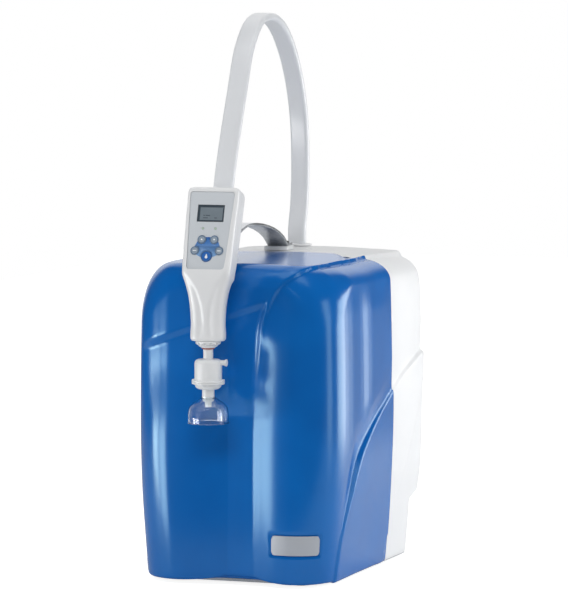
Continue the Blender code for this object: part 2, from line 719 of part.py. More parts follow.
def make_rear_housing(material):
    """Return the white rear housing with its connection bay and openings."""
    seam = SEAM_Y + GAP / 2.0

    def housing_levels(ledge):
        start = ledge + BAY_RISE
        climb = (SHOULDER_Z - start) / HOUSING_LEVELS
        upper = [start + climb * step for step in range(HOUSING_LEVELS + 1)]
        return [SKIRT_Z, ledge / 2.0, ledge] + upper

    def face_for(ledge):
        def face_at(height):
            return BAY_Y if height <= ledge else REAR_Y
        return face_at

    inner_ledge = BAY_HEIGHT + WALL
    outer, outer_tip = cabinet_rows(housing_levels(BAY_HEIGHT), face_for(BAY_HEIGHT), seam,
                                    REAR_CORNER_RADIUS, 0.0, HOUSING_SIDE_STEPS,
                                    HOUSING_FACE_SHARES)
    inner, inner_tip = cabinet_rows(housing_levels(inner_ledge), face_for(inner_ledge), seam,
                                    REAR_CORNER_RADIUS, WALL, HOUSING_SIDE_STEPS,
                                    HOUSING_FACE_SHARES)
    housing = shell_from_rows("rear_housing", outer, inner, outer_tip, inner_tip, material)
    window = bmesh.new()
    outline = rectangle(WINDOW_WIDTH, WINDOW_HEIGHT, (0.0, WINDOW_BOTTOM + WINDOW_HEIGHT / 2.0))
    add_prism(window, outline, BAY_Y - WALL - OVERRUN, BAY_Y + OVERRUN, "Y")
    cut(housing, make_cutter("bay_window_cutter", window))
    vents = bmesh.new()
    for index in range(VENT_COUNT):
        height = VENT_BOTTOM + index * VENT_PITCH
        add_prism(vents, rectangle(VENT_WIDTH, VENT_SLOT, (0.0, height)),
                  REAR_Y - WALL - OVERRUN, REAR_Y + OVERRUN, "Y")
    cut(housing, make_cutter("vent_cutter", vents))
    slot = bmesh.new()
    outline = collar_outline(GAP + COLLAR_WALL + GAP)
    add_prism(slot, outline, CABINET_HEIGHT - WALL - CROWN - OVERRUN, CABINET_HEIGHT + OVERRUN)
    cut(housing, make_cutter("hose_slot_cutter", slot))
    return housing


def collar_center():
    """Return where the hose goes down through the housing's top."""
    return (COLLAR_X, REAR_Y - COLLAR_BACK)


def collar_outline(extra, radius_share=1.0 / 3.0):
    """Return an outline round the hose in the collar, grown outward from the hose."""
    width = HOSE_WIDTH + 2.0 * extra
    depth = HOSE_THICKNESS + 2.0 * extra
    turn = Matrix.Rotation(math.radians(COLLAR_TURN_DEG), 2)
    center = Vector(collar_center())
    outline = rounded_rectangle(width, depth, depth * radius_share)
    return [tuple(center + turn @ Vector(point)) for point in outline]


def make_base(steel, rubber):
    """Make the tray that the shells stand round and the four feet under it."""
    inset = WALL + GAP + LEDGE_HOLLOW_SHARE * LEDGE_DEPTH
    set_back = WALL + GAP + CHANNEL_DEPTH
    front = u_outline(half_width(SKIRT_Z) - inset, SEAM_Y, FRONT_Y + set_back,
                      FRONT_CORNER_RADIUS - inset, 1, ARC_STEPS, ())
    rear = u_outline(half_width(SKIRT_Z) - inset, SEAM_Y, BAY_Y - WALL - GAP,
                     REAR_CORNER_RADIUS - inset, 1, ARC_STEPS, ())
    outline = front[::-1] + rear[1:-1]
    tray = prism("base_tray", outline, TRAY_Z, TRAY_TOP, steel)
    across = half_width(SKIRT_Z) - FOOT_EDGE - FOOT_RADIUS
    front_row = FRONT_Y + FOOT_EDGE + FOOT_RADIUS
    rear_row = BAY_Y - FOOT_EDGE - FOOT_RADIUS
    names = ("front_left", "front_right", "rear_left", "rear_right")
    places = ((-across, front_row), (across, front_row), (-across, rear_row), (across, rear_row))
    for name, place in zip(names, places):
        profile = [(0.0, 0.0), (FOOT_RADIUS * 0.92, 0.0), (FOOT_RADIUS, FOOT_HEIGHT * 0.2),
                   (FOOT_RADIUS, FOOT_HEIGHT), (FOOT_STUD_RADIUS, FOOT_HEIGHT),
                   (FOOT_STUD_RADIUS, TRAY_TOP), (0.0, TRAY_TOP)]
        turned("foot_" + name, profile, rubber, location=(*place, 0.0), segments=SMALL_SEGMENTS)
        hole = bmesh.new()
        add_prism(hole, circle(FOOT_STUD_RADIUS + GAP, place), TRAY_Z - OVERRUN, TRAY_TOP + OVERRUN)
        cut(tray, make_cutter("tray_hole_" + name, hole))


def make_bulkhead(steel):
    """Make the upright sheet in the seam that carries both shells and the works."""
    inset = WALL + 2.0 * GAP
    count = 6
    hollow = LEDGE_HOLLOW_SHARE * LEDGE_DEPTH / 2.0
    right = []
    for step in range(count + 1):
        height = TRAY_TOP + GAP + (SHOULDER_Z - TRAY_TOP - GAP) * step / count
        right.append((half_width(height) - inset - hollow, height))
    radius = TOP_RADIUS - inset
    for step in range(1, TOP_ARC_STEPS + 1):
        angle = math.pi / 2.0 * step / TOP_ARC_STEPS
        sunk = radius - SWEEP_STEP_HEIGHT * math.sin(angle)
        x = half_width(SHOULDER_Z) - inset - hollow - radius + sunk * math.cos(angle)
        fall = CROWN * (2.0 * x / CABINET_WIDTH) ** 2 * math.sin(angle)
        right.append((x, SHOULDER_Z + sunk * math.sin(angle) - fall))
    crown_steps = 3
    for step in range(1, crown_steps + 1):
        x = right[count + TOP_ARC_STEPS][0] * (1.0 - step / (crown_steps + 1))
        right.append((x, CABINET_HEIGHT - inset - CROWN * (2.0 * x / CABINET_WIDTH) ** 2 - GAP))
    left = [(-x, z) for x, z in reversed(right)]
    return prism("bulkhead", right + left, BULKHEAD_FRONT, BULKHEAD_BACK, steel, "Y")


def cover_point(along, height, out):
    """Return a point on the cover's front, by its distance round from the middle."""
    half = half_width(height)
    straight = half - FRONT_CORNER_RADIUS
    center_y = FRONT_Y + FRONT_CORNER_RADIUS
    out += relief(along, height)
    if along <= straight:
        return (along, FRONT_Y - out, height)
    angle = (along - straight) / FRONT_CORNER_RADIUS
    radius = FRONT_CORNER_RADIUS + out
    return (straight + radius * math.sin(angle), center_y - radius * math.cos(angle), height)


def make_badge(material):
    """Make the blank white plate that follows the cover's right front corner."""
    steps = 12
    seat = GAP * 2.0
    mesh_data = bmesh.new()
    rings = []
    for step in range(steps + 1):
        along = BADGE_START + BADGE_LENGTH * step / steps
        low = BADGE_BOTTOM
        high = BADGE_BOTTOM + BADGE_HEIGHT
        ring = [cover_point(along, low, seat), cover_point(along, high, seat),
                cover_point(along, high, seat + BADGE_THICKNESS),
                cover_point(along, low, seat + BADGE_THICKNESS)]
        rings.append([mesh_data.verts.new(point) for point in ring])
    for ring, other in zip(rings, rings[1:]):
        for index in range(4):
            after = (index + 1) % 4
            mesh_data.faces.new((ring[index], ring[after], other[after], other[index]))
    mesh_data.faces.new(rings[0])
    mesh_data.faces.new(rings[-1])
    return object_from_bmesh("badge_plate", mesh_data, material)


def make_connections(materials):
    """Make the connection panel with its hose tails, power inlet and switch."""
    width = WINDOW_WIDTH + 2.0 * PANEL_MARGIN
    height = WINDOW_HEIGHT + PANEL_MARGIN
    middle = TRAY_TOP + GAP + height / 2.0
    center_z = WINDOW_BOTTOM + WINDOW_HEIGHT / 2.0
    panel = prism("connection_panel", rectangle(width, height, (0.0, middle)),
                  PANEL_Y, PANEL_FACE_Y, materials["panel"], "Y")
    for index, name in enumerate(("feed_fitting", "drain_fitting", "overflow_fitting")):
        x = WINDOW_WIDTH * TAIL_PLACE_SHARES[index]
        hole = bmesh.new()
        add_prism(hole, circle(TAIL_RADIUS + GAP, (x, center_z)), PANEL_Y - OVERRUN,
                  PANEL_FACE_Y + OVERRUN, "Y")
        cut(panel, make_cutter("tail_hole_%d" % index, hole))
        make_tail(name, x, center_z, materials["fitting"])
    for name, x, wide, tall in (("inlet", INLET_X, INLET_WIDTH, INLET_HEIGHT),
                                ("switch", SWITCH_X, SWITCH_WIDTH, SWITCH_HEIGHT)):
        hole = bmesh.new()
        add_prism(hole, rectangle(wide + 2.0 * GAP, tall + 2.0 * GAP, (x, center_z)),
                  PANEL_Y - OVERRUN, PANEL_FACE_Y + OVERRUN, "Y")
        cut(panel, make_cutter(name + "_hole", hole))
    make_inlet(center_z, materials["black"])
    make_switch(center_z, materials["black"], materials["green"])


def make_tail(name, x, z, material):
    """Make one barbed hose tail with a collar, held in the connection panel."""
    face = PANEL_FACE_Y + GAP
    profile = [(TAIL_BORE, PANEL_Y - SHEET), (TAIL_RADIUS, PANEL_Y - SHEET), (TAIL_RADIUS, face),
               (TAIL_HEX_RADIUS, face), (TAIL_HEX_RADIUS, face + TAIL_HEX_LENGTH)]
    start = face + TAIL_HEX_LENGTH
    barbs = 3
    barb = TAIL_LENGTH / barbs
    for index in range(barbs):
        profile.append((TAIL_RADIUS * 0.75, start + index * barb))
        profile.append((TAIL_RADIUS, start + (index + 0.35) * barb))
    profile.append((TAIL_RADIUS * 0.7, start + TAIL_LENGTH))
    profile.append((TAIL_BORE, start + TAIL_LENGTH))
    mesh_data = bmesh.new()
    add_turned(mesh_data, profile, TAIL_SEGMENTS, (x, z), "Y")
    return object_from_bmesh(name, mesh_data, material)


def make_inlet(z, black):
    """Make the mains inlet socket with its three pins."""
    front = PANEL_FACE_Y + GAP
    mesh_data = bmesh.new()
    body = rectangle(INLET_WIDTH, INLET_HEIGHT, (INLET_X, z))
    add_prism(mesh_data, body, PANEL_FACE_Y - INLET_DEPTH, front, "Y")
    inlet = object_from_bmesh("power_inlet", mesh_data, black)
    lip = bmesh.new()
    outline = rectangle(INLET_WIDTH + INLET_LIP, INLET_HEIGHT + INLET_LIP, (INLET_X, z))
    add_prism(lip, outline, front, front + INLET_RIM, "Y")
    join(inlet, make_cutter("inlet_flange", lip))
    pocket = bmesh.new()
    inner = rectangle(INLET_WIDTH - 2.0 * INLET_RIM, INLET_HEIGHT - 2.0 * INLET_RIM, (INLET_X, z))
    floor = PANEL_FACE_Y - INLET_DEPTH + INLET_RIM
    add_prism(pocket, inner, floor, front + INLET_RIM + OVERRUN, "Y")
    cut(inlet, make_cutter("inlet_pocket", pocket))
    for index in (-1, 0, 1):
        rise = INLET_PIN_HEIGHT / 2.0 if index == 0 else -INLET_PIN_HEIGHT / 2.0
        place = (INLET_X + index * INLET_PIN_PITCH, z + rise)
        pin = bmesh.new()
        add_prism(pin, rectangle(INLET_PIN_WIDTH, INLET_PIN_HEIGHT, place),
                  floor - INLET_RIM / 2.0, floor + INLET_PIN_LENGTH, "Y")
        join(inlet, make_cutter("inlet_pin_%d" % (index + 1), pin))


def make_switch(z, black, green):
    """Make the power switch's frame and its rocker, whose origin is its pivot."""
    front = PANEL_FACE_Y + GAP
    frame = bmesh.new()
    add_prism(frame, rectangle(SWITCH_WIDTH, SWITCH_HEIGHT, (SWITCH_X, z)),
              PANEL_FACE_Y - INLET_DEPTH, front, "Y")
    body = object_from_bmesh("switch_frame", frame, black)
    pocket = bmesh.new()
    inner_width = SWITCH_WIDTH - 2.0 * SWITCH_RIM
    inner_height = SWITCH_HEIGHT - 2.0 * SWITCH_RIM
    back = PANEL_FACE_Y - INLET_DEPTH + SWITCH_RIM
    add_prism(pocket, rectangle(inner_width, inner_height, (SWITCH_X, z)), back,
              front + OVERRUN, "Y")
    cut(body, make_cutter("switch_pocket", pocket))
    swing = math.radians(SWITCH_TRAVEL_DEG)
    half_tall = inner_height / 2.0 - SWITCH_RIM / 2.0
    hub = SWITCH_RIM * 2.0
    sink = ROCKER_PROUD
    outline = [(-sink, half_tall), (-sink, -half_tall)]
    outline.append((ROCKER_PROUD, -half_tall))
    outline.append((0.0, 0.0))
    outline.append((ROCKER_PROUD - half_tall * math.sin(swing), half_tall))
    points = [(front + a, b) for a, b in outline]
    local = [(a - front, b) for a, b in points]
    rocker = bmesh.new()
    reach = inner_width / 2.0 - GAP
    add_prism(rocker, local, -reach, reach, "X")
    piece = object_from_bmesh("power_rocker", rocker, green, location=(SWITCH_X, front, z))
    pivot = bmesh.new()
    add_prism(pivot, rectangle(ROCKER_DEPTH, hub, (-sink - ROCKER_DEPTH / 2.0, 0.0)),
              -reach / 2.0, reach / 2.0, "X")
    stem = make_cutter("rocker_stem", pivot, location=(SWITCH_X, front, z))
    join(piece, stem)
    return piece


def handset_stations(inset):
    """Return the handset's sections from the handle's foot to the head's top.

    Each is (center y, center z, tilt, half width, half depth, corner radius).
    """
    stations = []
    for length, width, depth in zip(HANDLE_LENGTH_SHARES, HANDLE_WIDTH_SHARES,
                                    HANDLE_DEPTH_SHARES):
        tilt = HEAD_TILT * length * length * 0.6
        stations.append((0.0, HANDSET_BOTTOM + HANDLE_LENGTH * length, tilt,
                         HANDLE_WIDTH / 2.0 * width - inset, HANDLE_DEPTH / 2.0 * depth - inset,
                         HANDLE_CORNER - inset))
    base = HANDSET_BOTTOM + HANDLE_LENGTH
    length_left = HEAD_LENGTH - inset
    for length, width, depth in zip(HEAD_LENGTH_SHARES, HEAD_WIDTH_SHARES, HEAD_DEPTH_SHARES):
        along = length_left * length
        stations.append((along * math.sin(HEAD_TILT), base + along * math.cos(HEAD_TILT), HEAD_TILT,
                         HEAD_WIDTH / 2.0 * width - inset, HEAD_DEPTH / 2.0 * depth - inset,
                         HEAD_CORNER - inset / 2.0))
    return stations


def handset_rows(direction, inset, grow=0.0):
    """Return one handset half's rows and tip, in the handset's own frame."""
    seam = direction * GAP / 2.0
    rows = []
    for y, z, tilt, half, depth, radius in handset_stations(inset):
        outline = u_outline(half + grow, seam, direction * (depth + grow), radius,
                            HANDSET_SIDE_STEPS, HANDSET_ARC_STEPS, HANDSET_FACE_SHARES)
        row = []
        for across, back in outline:
            row.append((across, y + back * math.cos(tilt), z - back * math.sin(tilt)))
        rows.append(row)
    y, z, tilt, _, _, _ = handset_stations(inset)[-1]
    tip = (0.0, y + seam * math.cos(tilt), z - seam * math.sin(tilt))
    return rows, tip


def make_handset_shells(frame, head, materials):
    """Make the handset's front and rear shells and cut the keypad's window."""
    front_outer, front_tip = handset_rows(-1.0, 0.0)
    front_inner, front_inner_tip = handset_rows(-1.0, HANDSET_WALL)
    front = shell_from_rows("handset_front_shell", front_outer, front_inner, front_tip,
                            front_inner_tip, materials["handset"], frame)
    rear_outer, rear_tip = handset_rows(1.0, 0.0)
    rear_inner, rear_inner_tip = handset_rows(1.0, HANDSET_WALL)
    shell_from_rows("handset_rear_shell", rear_outer, rear_inner, rear_tip,
                    rear_inner_tip, materials["handset"], frame)
    window = bmesh.new()
    add_prism(window, keypad_outline(GAP), -OVERRUN, HANDSET_WALL + OVERRUN, "Y")
    cut(front, make_cutter("keypad_window", window, head))


def keypad_outline(extra):
    """Return the keypad's tapering outline in the head's frame, grown by a clearance."""
    top = -PANEL_TOP_MARGIN + extra
    bottom = -PANEL_TOP_MARGIN - PANEL_LENGTH - extra
    upper = PANEL_TOP_WIDTH / 2.0 + extra
    lower = PANEL_BOTTOM_WIDTH / 2.0 + extra
    radius = PANEL_CORNER + extra
    steps = 3
    points = []
    corners = ((upper - radius, top - radius, 0.0), (-upper + radius, top - radius, 90.0),
               (-lower + radius, bottom + radius, 180.0), (lower - radius, bottom + radius, 270.0))
    for x, z, start in corners:
        for step in range(steps + 1):
            angle = math.radians(start + 90.0 * step / steps)
            points.append((x + radius * math.cos(angle), z + radius * math.sin(angle)))
    return points


def make_keypad(head, materials):
    """Make the keypad, display, status lights, keys and the board behind them."""
    back = PANEL_SUNK + PANEL_THICKNESS
    keypad = prism("keypad_panel", keypad_outline(0.0), PANEL_SUNK, back, materials["keypad"],
                   "Y", head)
    hole = bmesh.new()
    add_prism(hole, rectangle(DISPLAY_WIDTH + 2.0 * GAP, DISPLAY_HEIGHT + 2.0 * GAP,
                              (0.0, -DISPLAY_DROP)), -OVERRUN, back + OVERRUN, "Y")
    cut(keypad, make_cutter("display_hole", hole, head))
    prism("display_window", rectangle(DISPLAY_WIDTH, DISPLAY_HEIGHT, (0.0, -DISPLAY_DROP)),
          PANEL_SUNK, PANEL_SUNK + PANEL_THICKNESS / 2.0, materials["window"], "Y", head)
    board_front = back + KEY_TRAVEL + BOARD_CLEARANCE
    prism("display_module", rectangle(DISPLAY_WIDTH, DISPLAY_HEIGHT, (0.0, -DISPLAY_DROP)),
          PANEL_SUNK + PANEL_THICKNESS / 2.0 + GAP, board_front - GAP, materials["screen"], "Y", head)
    bar_front = back + GAP
    bar_width = 2.0 * (LIGHT_OFFSET + LIGHT_RADIUS)
    guide = prism("status_light_guide", rectangle(bar_width, 2.0 * LIGHT_RADIUS, (0.0, -LIGHT_DROP)),
                  bar_front, board_front - GAP, materials["light"], "Y", head)
    for side, name in ((-1, "left"), (1, "right")):
        place = (side * LIGHT_OFFSET, -LIGHT_DROP)
        cut_round(keypad, "light_hole_" + name, LIGHT_RADIUS + GAP, place, back, head)
        light = bmesh.new()
        add_prism(light, circle(LIGHT_RADIUS * 0.96, place, TAIL_SEGMENTS), PANEL_SUNK,
                  (bar_front + board_front - GAP) / 2.0, "Y")
        join(guide, make_cutter("light_" + name, light, head))
    for name, x, drop, radius, slot in key_places():
        cut_round(keypad, name + "_hole", radius + GAP, (x, -drop), back, head)
        turned(name, rod(radius, -KEY_PROUD, PANEL_THICKNESS), materials[slot], head,
               (x, PANEL_SUNK, -drop), SMALL_SEGMENTS, "Y")
    width = PANEL_BOTTOM_WIDTH - 2.0 * BOARD_MARGIN
    length = PANEL_LENGTH - 2.0 * BOARD_MARGIN
    middle = -PANEL_TOP_MARGIN - PANEL_LENGTH / 2.0
    prism("handset_board", rectangle(width, length, (0.0, middle)), board_front,
          board_front + BOARD_THICKNESS, materials["board"], "Y", head)
    return board_front + BOARD_THICKNESS


def cut_round(piece, name, radius, place, back, head):
    """Cut a round hole through the keypad."""
    hole = bmesh.new()
    add_prism(hole, circle(radius, place), -OVERRUN, back + OVERRUN, "Y")
    cut(piece, make_cutter(name, hole, head))


def key_places():
    """Return each key's name, place across and down the head, radius and colour."""
    return (("key_upper_left", -UPPER_KEY_OFFSET, UPPER_KEY_DROP, KEY_RADIUS, "key"),
            ("key_upper_right", UPPER_KEY_OFFSET, UPPER_KEY_DROP, KEY_RADIUS, "key"),
            ("key_lower_left", -LOWER_KEY_OFFSET, LOWER_KEY_DROP, KEY_RADIUS, "key"),
            ("key_lower_right", LOWER_KEY_OFFSET, LOWER_KEY_DROP, KEY_RADIUS, "key"),
            ("dispense_key", 0.0, DISPENSE_KEY_DROP, DISPENSE_KEY_RADIUS, "blue"))


def make_outlet(frame, materials):
    """Make the pieces below the handle, which all turn about its centre line."""
    nut_top = HANDSET_BOTTOM - GAP
    nut_bottom = nut_top - NUT_HEIGHT
    spigot_top = HANDSET_BOTTOM + HANDSET_WALL + NUT_HEIGHT
    spigot_bottom = nut_bottom - GAP - CONE_HEIGHT
    make_nut(frame, nut_bottom, nut_top, materials["white"])
    bore = NOZZLE_BORE
    plug_half = HANDLE_WIDTH / 2.0 * HANDLE_WIDTH_SHARES[0] - HANDSET_WALL - GAP
    plug_depth = HANDLE_DEPTH / 2.0 * HANDLE_DEPTH_SHARES[0] - HANDSET_WALL - GAP
    plug_radius = min(HANDLE_CORNER - HANDSET_WALL - GAP, plug_depth * 0.99)
    plug_outline = rounded_rectangle(2.0 * plug_half, 2.0 * plug_depth, plug_radius,
                                     steps=HANDSET_ARC_STEPS)
    plug = prism("handle_end_plug", plug_outline, HANDSET_BOTTOM, HANDSET_BOTTOM + NUT_HEIGHT,
                 materials["grey"], parent=frame)
    hole = bmesh.new()
    add_prism(hole, circle(SPIGOT_RADIUS + GAP), HANDSET_BOTTOM - OVERRUN,
              HANDSET_BOTTOM + NUT_HEIGHT + OVERRUN)
    cut(plug, make_cutter("plug_hole", hole, frame))
    cone_top = nut_bottom - GAP
    profile = [(bore, spigot_top), (SPIGOT_RADIUS * 1.6, spigot_top),
               (SPIGOT_RADIUS * 1.6, HANDSET_BOTTOM + NUT_HEIGHT + GAP),
               (SPIGOT_RADIUS, HANDSET_BOTTOM + NUT_HEIGHT + GAP), (SPIGOT_RADIUS, cone_top),
               (CONE_RADIUS, cone_top), (SEAL_RADIUS, spigot_bottom), (bore, spigot_bottom)]
    turned("outlet_cone", profile, materials["white"], frame)
    seal_top = spigot_bottom - GAP
    seal_bottom = seal_top - SEAL_HEIGHT
    turned("seal_ring", ring_profile(SEAL_RADIUS, SEAL_BORE, seal_bottom, seal_top),
           materials["red"], frame, segments=SMALL_SEGMENTS)
    return seal_bottom


def make_nut(frame, low, high, material):
    """Make the ribbed union nut."""
    ribs = NUT_RIB_COUNT
    outer = []
    for index in range(ribs * 4):
        angle = 2.0 * math.pi * index / (ribs * 4)
        radius = NUT_RADIUS - (NUT_RIB_DEPTH if index % 4 == 3 else 0.0)
        outer.append((radius * math.cos(angle), radius * math.sin(angle)))
    nut = prism("union_nut", outer, low, high, material, parent=frame)
    hole = bmesh.new()
    add_prism(hole, circle(SPIGOT_RADIUS + GAP), low - OVERRUN, high + OVERRUN)
    cut(nut, make_cutter("nut_hole", hole, frame))


def make_filter(frame, top, materials):
    """Make the capsule filter, its vent and the filling bell below it."""
    neck_top = top - GAP
    body_top = neck_top - FILTER_NECK_LENGTH + SEAL_HEIGHT
    body_bottom = body_top - FILTER_HEIGHT + FILTER_DOME
    wall = FILTER_WALL
    bore = NOZZLE_BORE
    shelf = body_top - FILTER_DOME
    profile = [(bore, neck_top), (NECK_RADIUS, neck_top), (NECK_RADIUS, body_top),
               (FILTER_RADIUS * 0.86, body_top), (FILTER_RADIUS, shelf),
               (FILTER_RADIUS, body_bottom), (FLANGE_RADIUS, body_bottom),
               (FLANGE_RADIUS, body_bottom - FLANGE_HEIGHT / 2.0),
               (FILTER_RADIUS - wall, body_bottom - FLANGE_HEIGHT / 2.0),
               (FILTER_RADIUS - wall, shelf - wall), (bore, body_top - wall)]
    upper = turned("filter_upper_shell", profile, materials["white"], frame)
    split = body_bottom - FLANGE_HEIGHT / 2.0 - GAP
    dome_top = split - FLANGE_HEIGHT / 2.0
    dome_bottom = dome_top - LOWER_DOME_HEIGHT
    outlet_bottom = dome_bottom - OUTLET_LENGTH
    profile = [(bore, split - wall), (bore, outlet_bottom), (OUTLET_RADIUS, outlet_bottom),
               (OUTLET_RADIUS, dome_bottom), (FILTER_RADIUS * 0.7, dome_bottom),
               (FLANGE_RADIUS * 0.86, dome_top), (FLANGE_RADIUS, dome_top), (FLANGE_RADIUS, split),
               (FILTER_RADIUS - wall, split), (FILTER_RADIUS - wall, split - wall)]
    turned("filter_lower_shell", profile, materials["white"], frame)
    turned("filter_membrane", rod(FILTER_RADIUS - wall - GAP, split - wall + GAP,
                                  split - wall + GAP + MEMBRANE_THICKNESS),
           materials["membrane"], frame)
    add_vent(frame, upper, shelf - VENT_CAP_DROP + FILTER_DOME)
    make_bell(frame, outlet_bottom, materials)


def add_vent(frame, capsule, height):
    """Join the air vent to the capsule's right side."""
    start = FILTER_RADIUS - FILTER_WALL
    neck = FILTER_RADIUS + VENT_CAP_LENGTH / 3.0
    profile = [(0.0, start), (VENT_CAP_RADIUS * 0.8, start), (VENT_CAP_RADIUS * 0.8, neck),
               (VENT_CAP_RADIUS, neck), (VENT_CAP_RADIUS, FILTER_RADIUS + VENT_CAP_LENGTH),
               (0.0, FILTER_RADIUS + VENT_CAP_LENGTH)]
    mesh_data = bmesh.new()
    add_turned(mesh_data, profile, SMALL_SEGMENTS, axis="X")
    join(capsule, make_cutter("filter_vent", mesh_data, frame, (0.0, 0.0, height)))


def make_bell(frame, outlet_bottom, materials):
    """Make the clear filling bell and the nozzle inside it."""
    top = outlet_bottom + BELL_COLLAR
    rim = top - BELL_HEIGHT
    inner = OUTLET_RADIUS + GAP
    shoulder_steps = 4
    outer = []
    inside = []
    for step in range(shoulder_steps + 1):
        angle = math.pi / 2.0 * step / shoulder_steps
        drop = BELL_SHOULDER * (1.0 - math.cos(angle))
        spread = (BELL_RADIUS - inner - BELL_WALL * 2.0) * math.sin(angle)
        outer.append((inner + BELL_WALL * 2.0 + spread, top - drop))
        inside.append((inner + BELL_WALL + spread, top - BELL_WALL - drop))
    profile = [(inner, top)] + outer + [(BELL_RADIUS, rim), (BELL_RADIUS - BELL_WALL, rim)]
    profile += inside[::-1][:-1] + [(inner, top - BELL_WALL)]
    turned("filling_bell", profile, materials["clear"], frame)
    low = outlet_bottom - GAP - NOZZLE_LENGTH
    base = OUTLET_RADIUS * 0.9
    profile = [(NOZZLE_BORE, outlet_bottom - GAP), (base, outlet_bottom - GAP),
               (base, outlet_bottom - GAP - NOZZLE_BASE), (NOZZLE_RADIUS, outlet_bottom - GAP - NOZZLE_BASE),
               (NOZZLE_RADIUS * 0.9, low), (NOZZLE_BORE, low)]
    turned("outlet_nozzle", profile, materials["white"], frame, segments=SMALL_SEGMENTS)


def bend_curve(points, samples):
    """Return evenly spaced points of a smooth curve through the given ones."""
    runs = [(after - before).length for before, after in zip(points, points[1:])]
    slopes = [(after - before) / run for before, after, run in zip(points, points[1:], runs)]
    tangents = [slopes[0]]
    for index in range(1, len(points) - 1):
        before, after = runs[index - 1], runs[index]
        mixed = slopes[index - 1] * after + slopes[index] * before
        tangents.append(mixed / (before + after))
    tangents.append(slopes[-1])
    total = sum(runs)
    curve = []
    for step in range(samples + 1):
        left = total * step / samples
        span = 0
        while span < len(runs) - 1 and left > runs[span]:
            left -= runs[span]
            span += 1
        t = min(left / runs[span], 1.0)
        start = points[span] * (2.0 * t ** 3 - 3.0 * t ** 2 + 1.0)
        end = points[span + 1] * (3.0 * t ** 2 - 2.0 * t ** 3)
        leaving = tangents[span] * ((t ** 3 - 2.0 * t ** 2 + t) * runs[span])
        arriving = tangents[span + 1] * ((t ** 3 - t ** 2) * runs[span])
        curve.append(start + end + leaving + arriving)
    return curve


def sweep(name, path, outline, side_hints, material, parent=None):
    """Return an outline swept along a path, its first axis kept near each point's hint."""
    mesh_data = bmesh.new()
    rings = []
    for index, point in enumerate(path):
        before = path[max(index - 1, 0)]
        after = path[min(index + 1, len(path) - 1)]
        tangent = (after - before).normalized()
        normal = tangent.cross(side_hints[index]).normalized()
        side = normal.cross(tangent).normalized()
        rings.append([mesh_data.verts.new(point + side * a + normal * b) for a, b in outline])
    count = len(outline)
    for ring, other in zip(rings, rings[1:]):
        for index in range(count):
            after = (index + 1) % count
            mesh_data.faces.new((ring[index], ring[after], other[after], other[index]))
    mesh_data.faces.new(rings[0])
    mesh_data.faces.new(rings[-1])
    return object_from_bmesh(name, mesh_data, material, parent)


def socket_place():
    """Return where the hose enters the head, and the direction that it leaves in."""
    head_top = HANDSET_BOTTOM + HANDLE_LENGTH
    along = HEAD_LENGTH * 0.93
    back = HEAD_DEPTH / 2.0 + GAP + SOCKET_WALL + GAP + HOSE_THICKNESS / 2.0
    y = along * math.sin(HEAD_TILT) + back * math.cos(HEAD_TILT)
    z = head_top + along * math.cos(HEAD_TILT) - back * math.sin(HEAD_TILT)
    turn = Matrix.Rotation(HANDSET_TURN, 4, "Z")
    place = Vector((HANDSET_X, HANDSET_Y, 0.0)) + turn @ Vector((0.0, y, z))
    direction = turn @ Vector((0.0, math.sin(HEAD_TILT), math.cos(HEAD_TILT)))
    return place, direction


def hose_route():
    """Return the hose's route, from inside the socket over the arch to the collar."""
    place, direction = socket_place()
    reach = SOCKET_LENGTH / 2.0
    collar_x, collar_y = collar_center()
    points = [place - direction * (reach - SOCKET_WALL - GAP), place,
              place + direction * reach, place + direction * (reach + HOSE_THICKNESS)]
    for side, back, rise in zip(HOSE_SIDE_SHARES, HOSE_BACK_SHARES, HOSE_RISE_SHARES):
        points.append(Vector((place.x + (collar_x - place.x) * side,
                              place.y + (collar_y - place.y) * back,
                              CABINET_HEIGHT + HOSE_RISE * rise)))
    for height in (HOSE_THICKNESS * 2.0, HOSE_THICKNESS, GAP * 2.0 - COLLAR_DEPTH):
        points.append(Vector((collar_x, collar_y, CABINET_HEIGHT + height)))
    return points


def make_hose(frame, materials):
    """Make the flat hose with the socket and the collar that hold its ends."""
    outline = rounded_rectangle(HOSE_WIDTH, HOSE_THICKNESS, HOSE_THICKNESS * HOSE_CORNER_SHARE,
                                steps=2)
    path = bend_curve(hose_route(), HOSE_STEPS)
    hints = []
    for index in range(len(path)):
        share = min(max(1.2 * index / HOSE_STEPS - 0.1, 0.0), 1.0)
        angle = HANDSET_TURN + (math.radians(COLLAR_TURN_DEG) - HANDSET_TURN) * share
        hints.append(Vector((math.cos(angle), math.sin(angle), 0.0)))
    sweep("dispenser_hose", path, outline, hints, materials["hose"])
    top = CABINET_HEIGHT + GAP * 2.0
    grown = GAP + COLLAR_WALL
    sleeve = prism("hose_collar", collar_outline(grown), CABINET_HEIGHT - COLLAR_DEPTH, top,
                   materials["white"])
    flange = bmesh.new()
    add_prism(flange, collar_outline(grown + COLLAR_FLANGE), top, top + COLLAR_FLANGE_HEIGHT)
    join(sleeve, make_cutter("collar_flange", flange))
    bore = bmesh.new()
    add_prism(bore, collar_outline(GAP, HOSE_CORNER_SHARE * 0.8),
              CABINET_HEIGHT - COLLAR_DEPTH - OVERRUN, CABINET_HEIGHT + TOP_RADIUS)
    cut(sleeve, make_cutter("collar_bore", bore))
    make_socket(frame, materials["handset"])


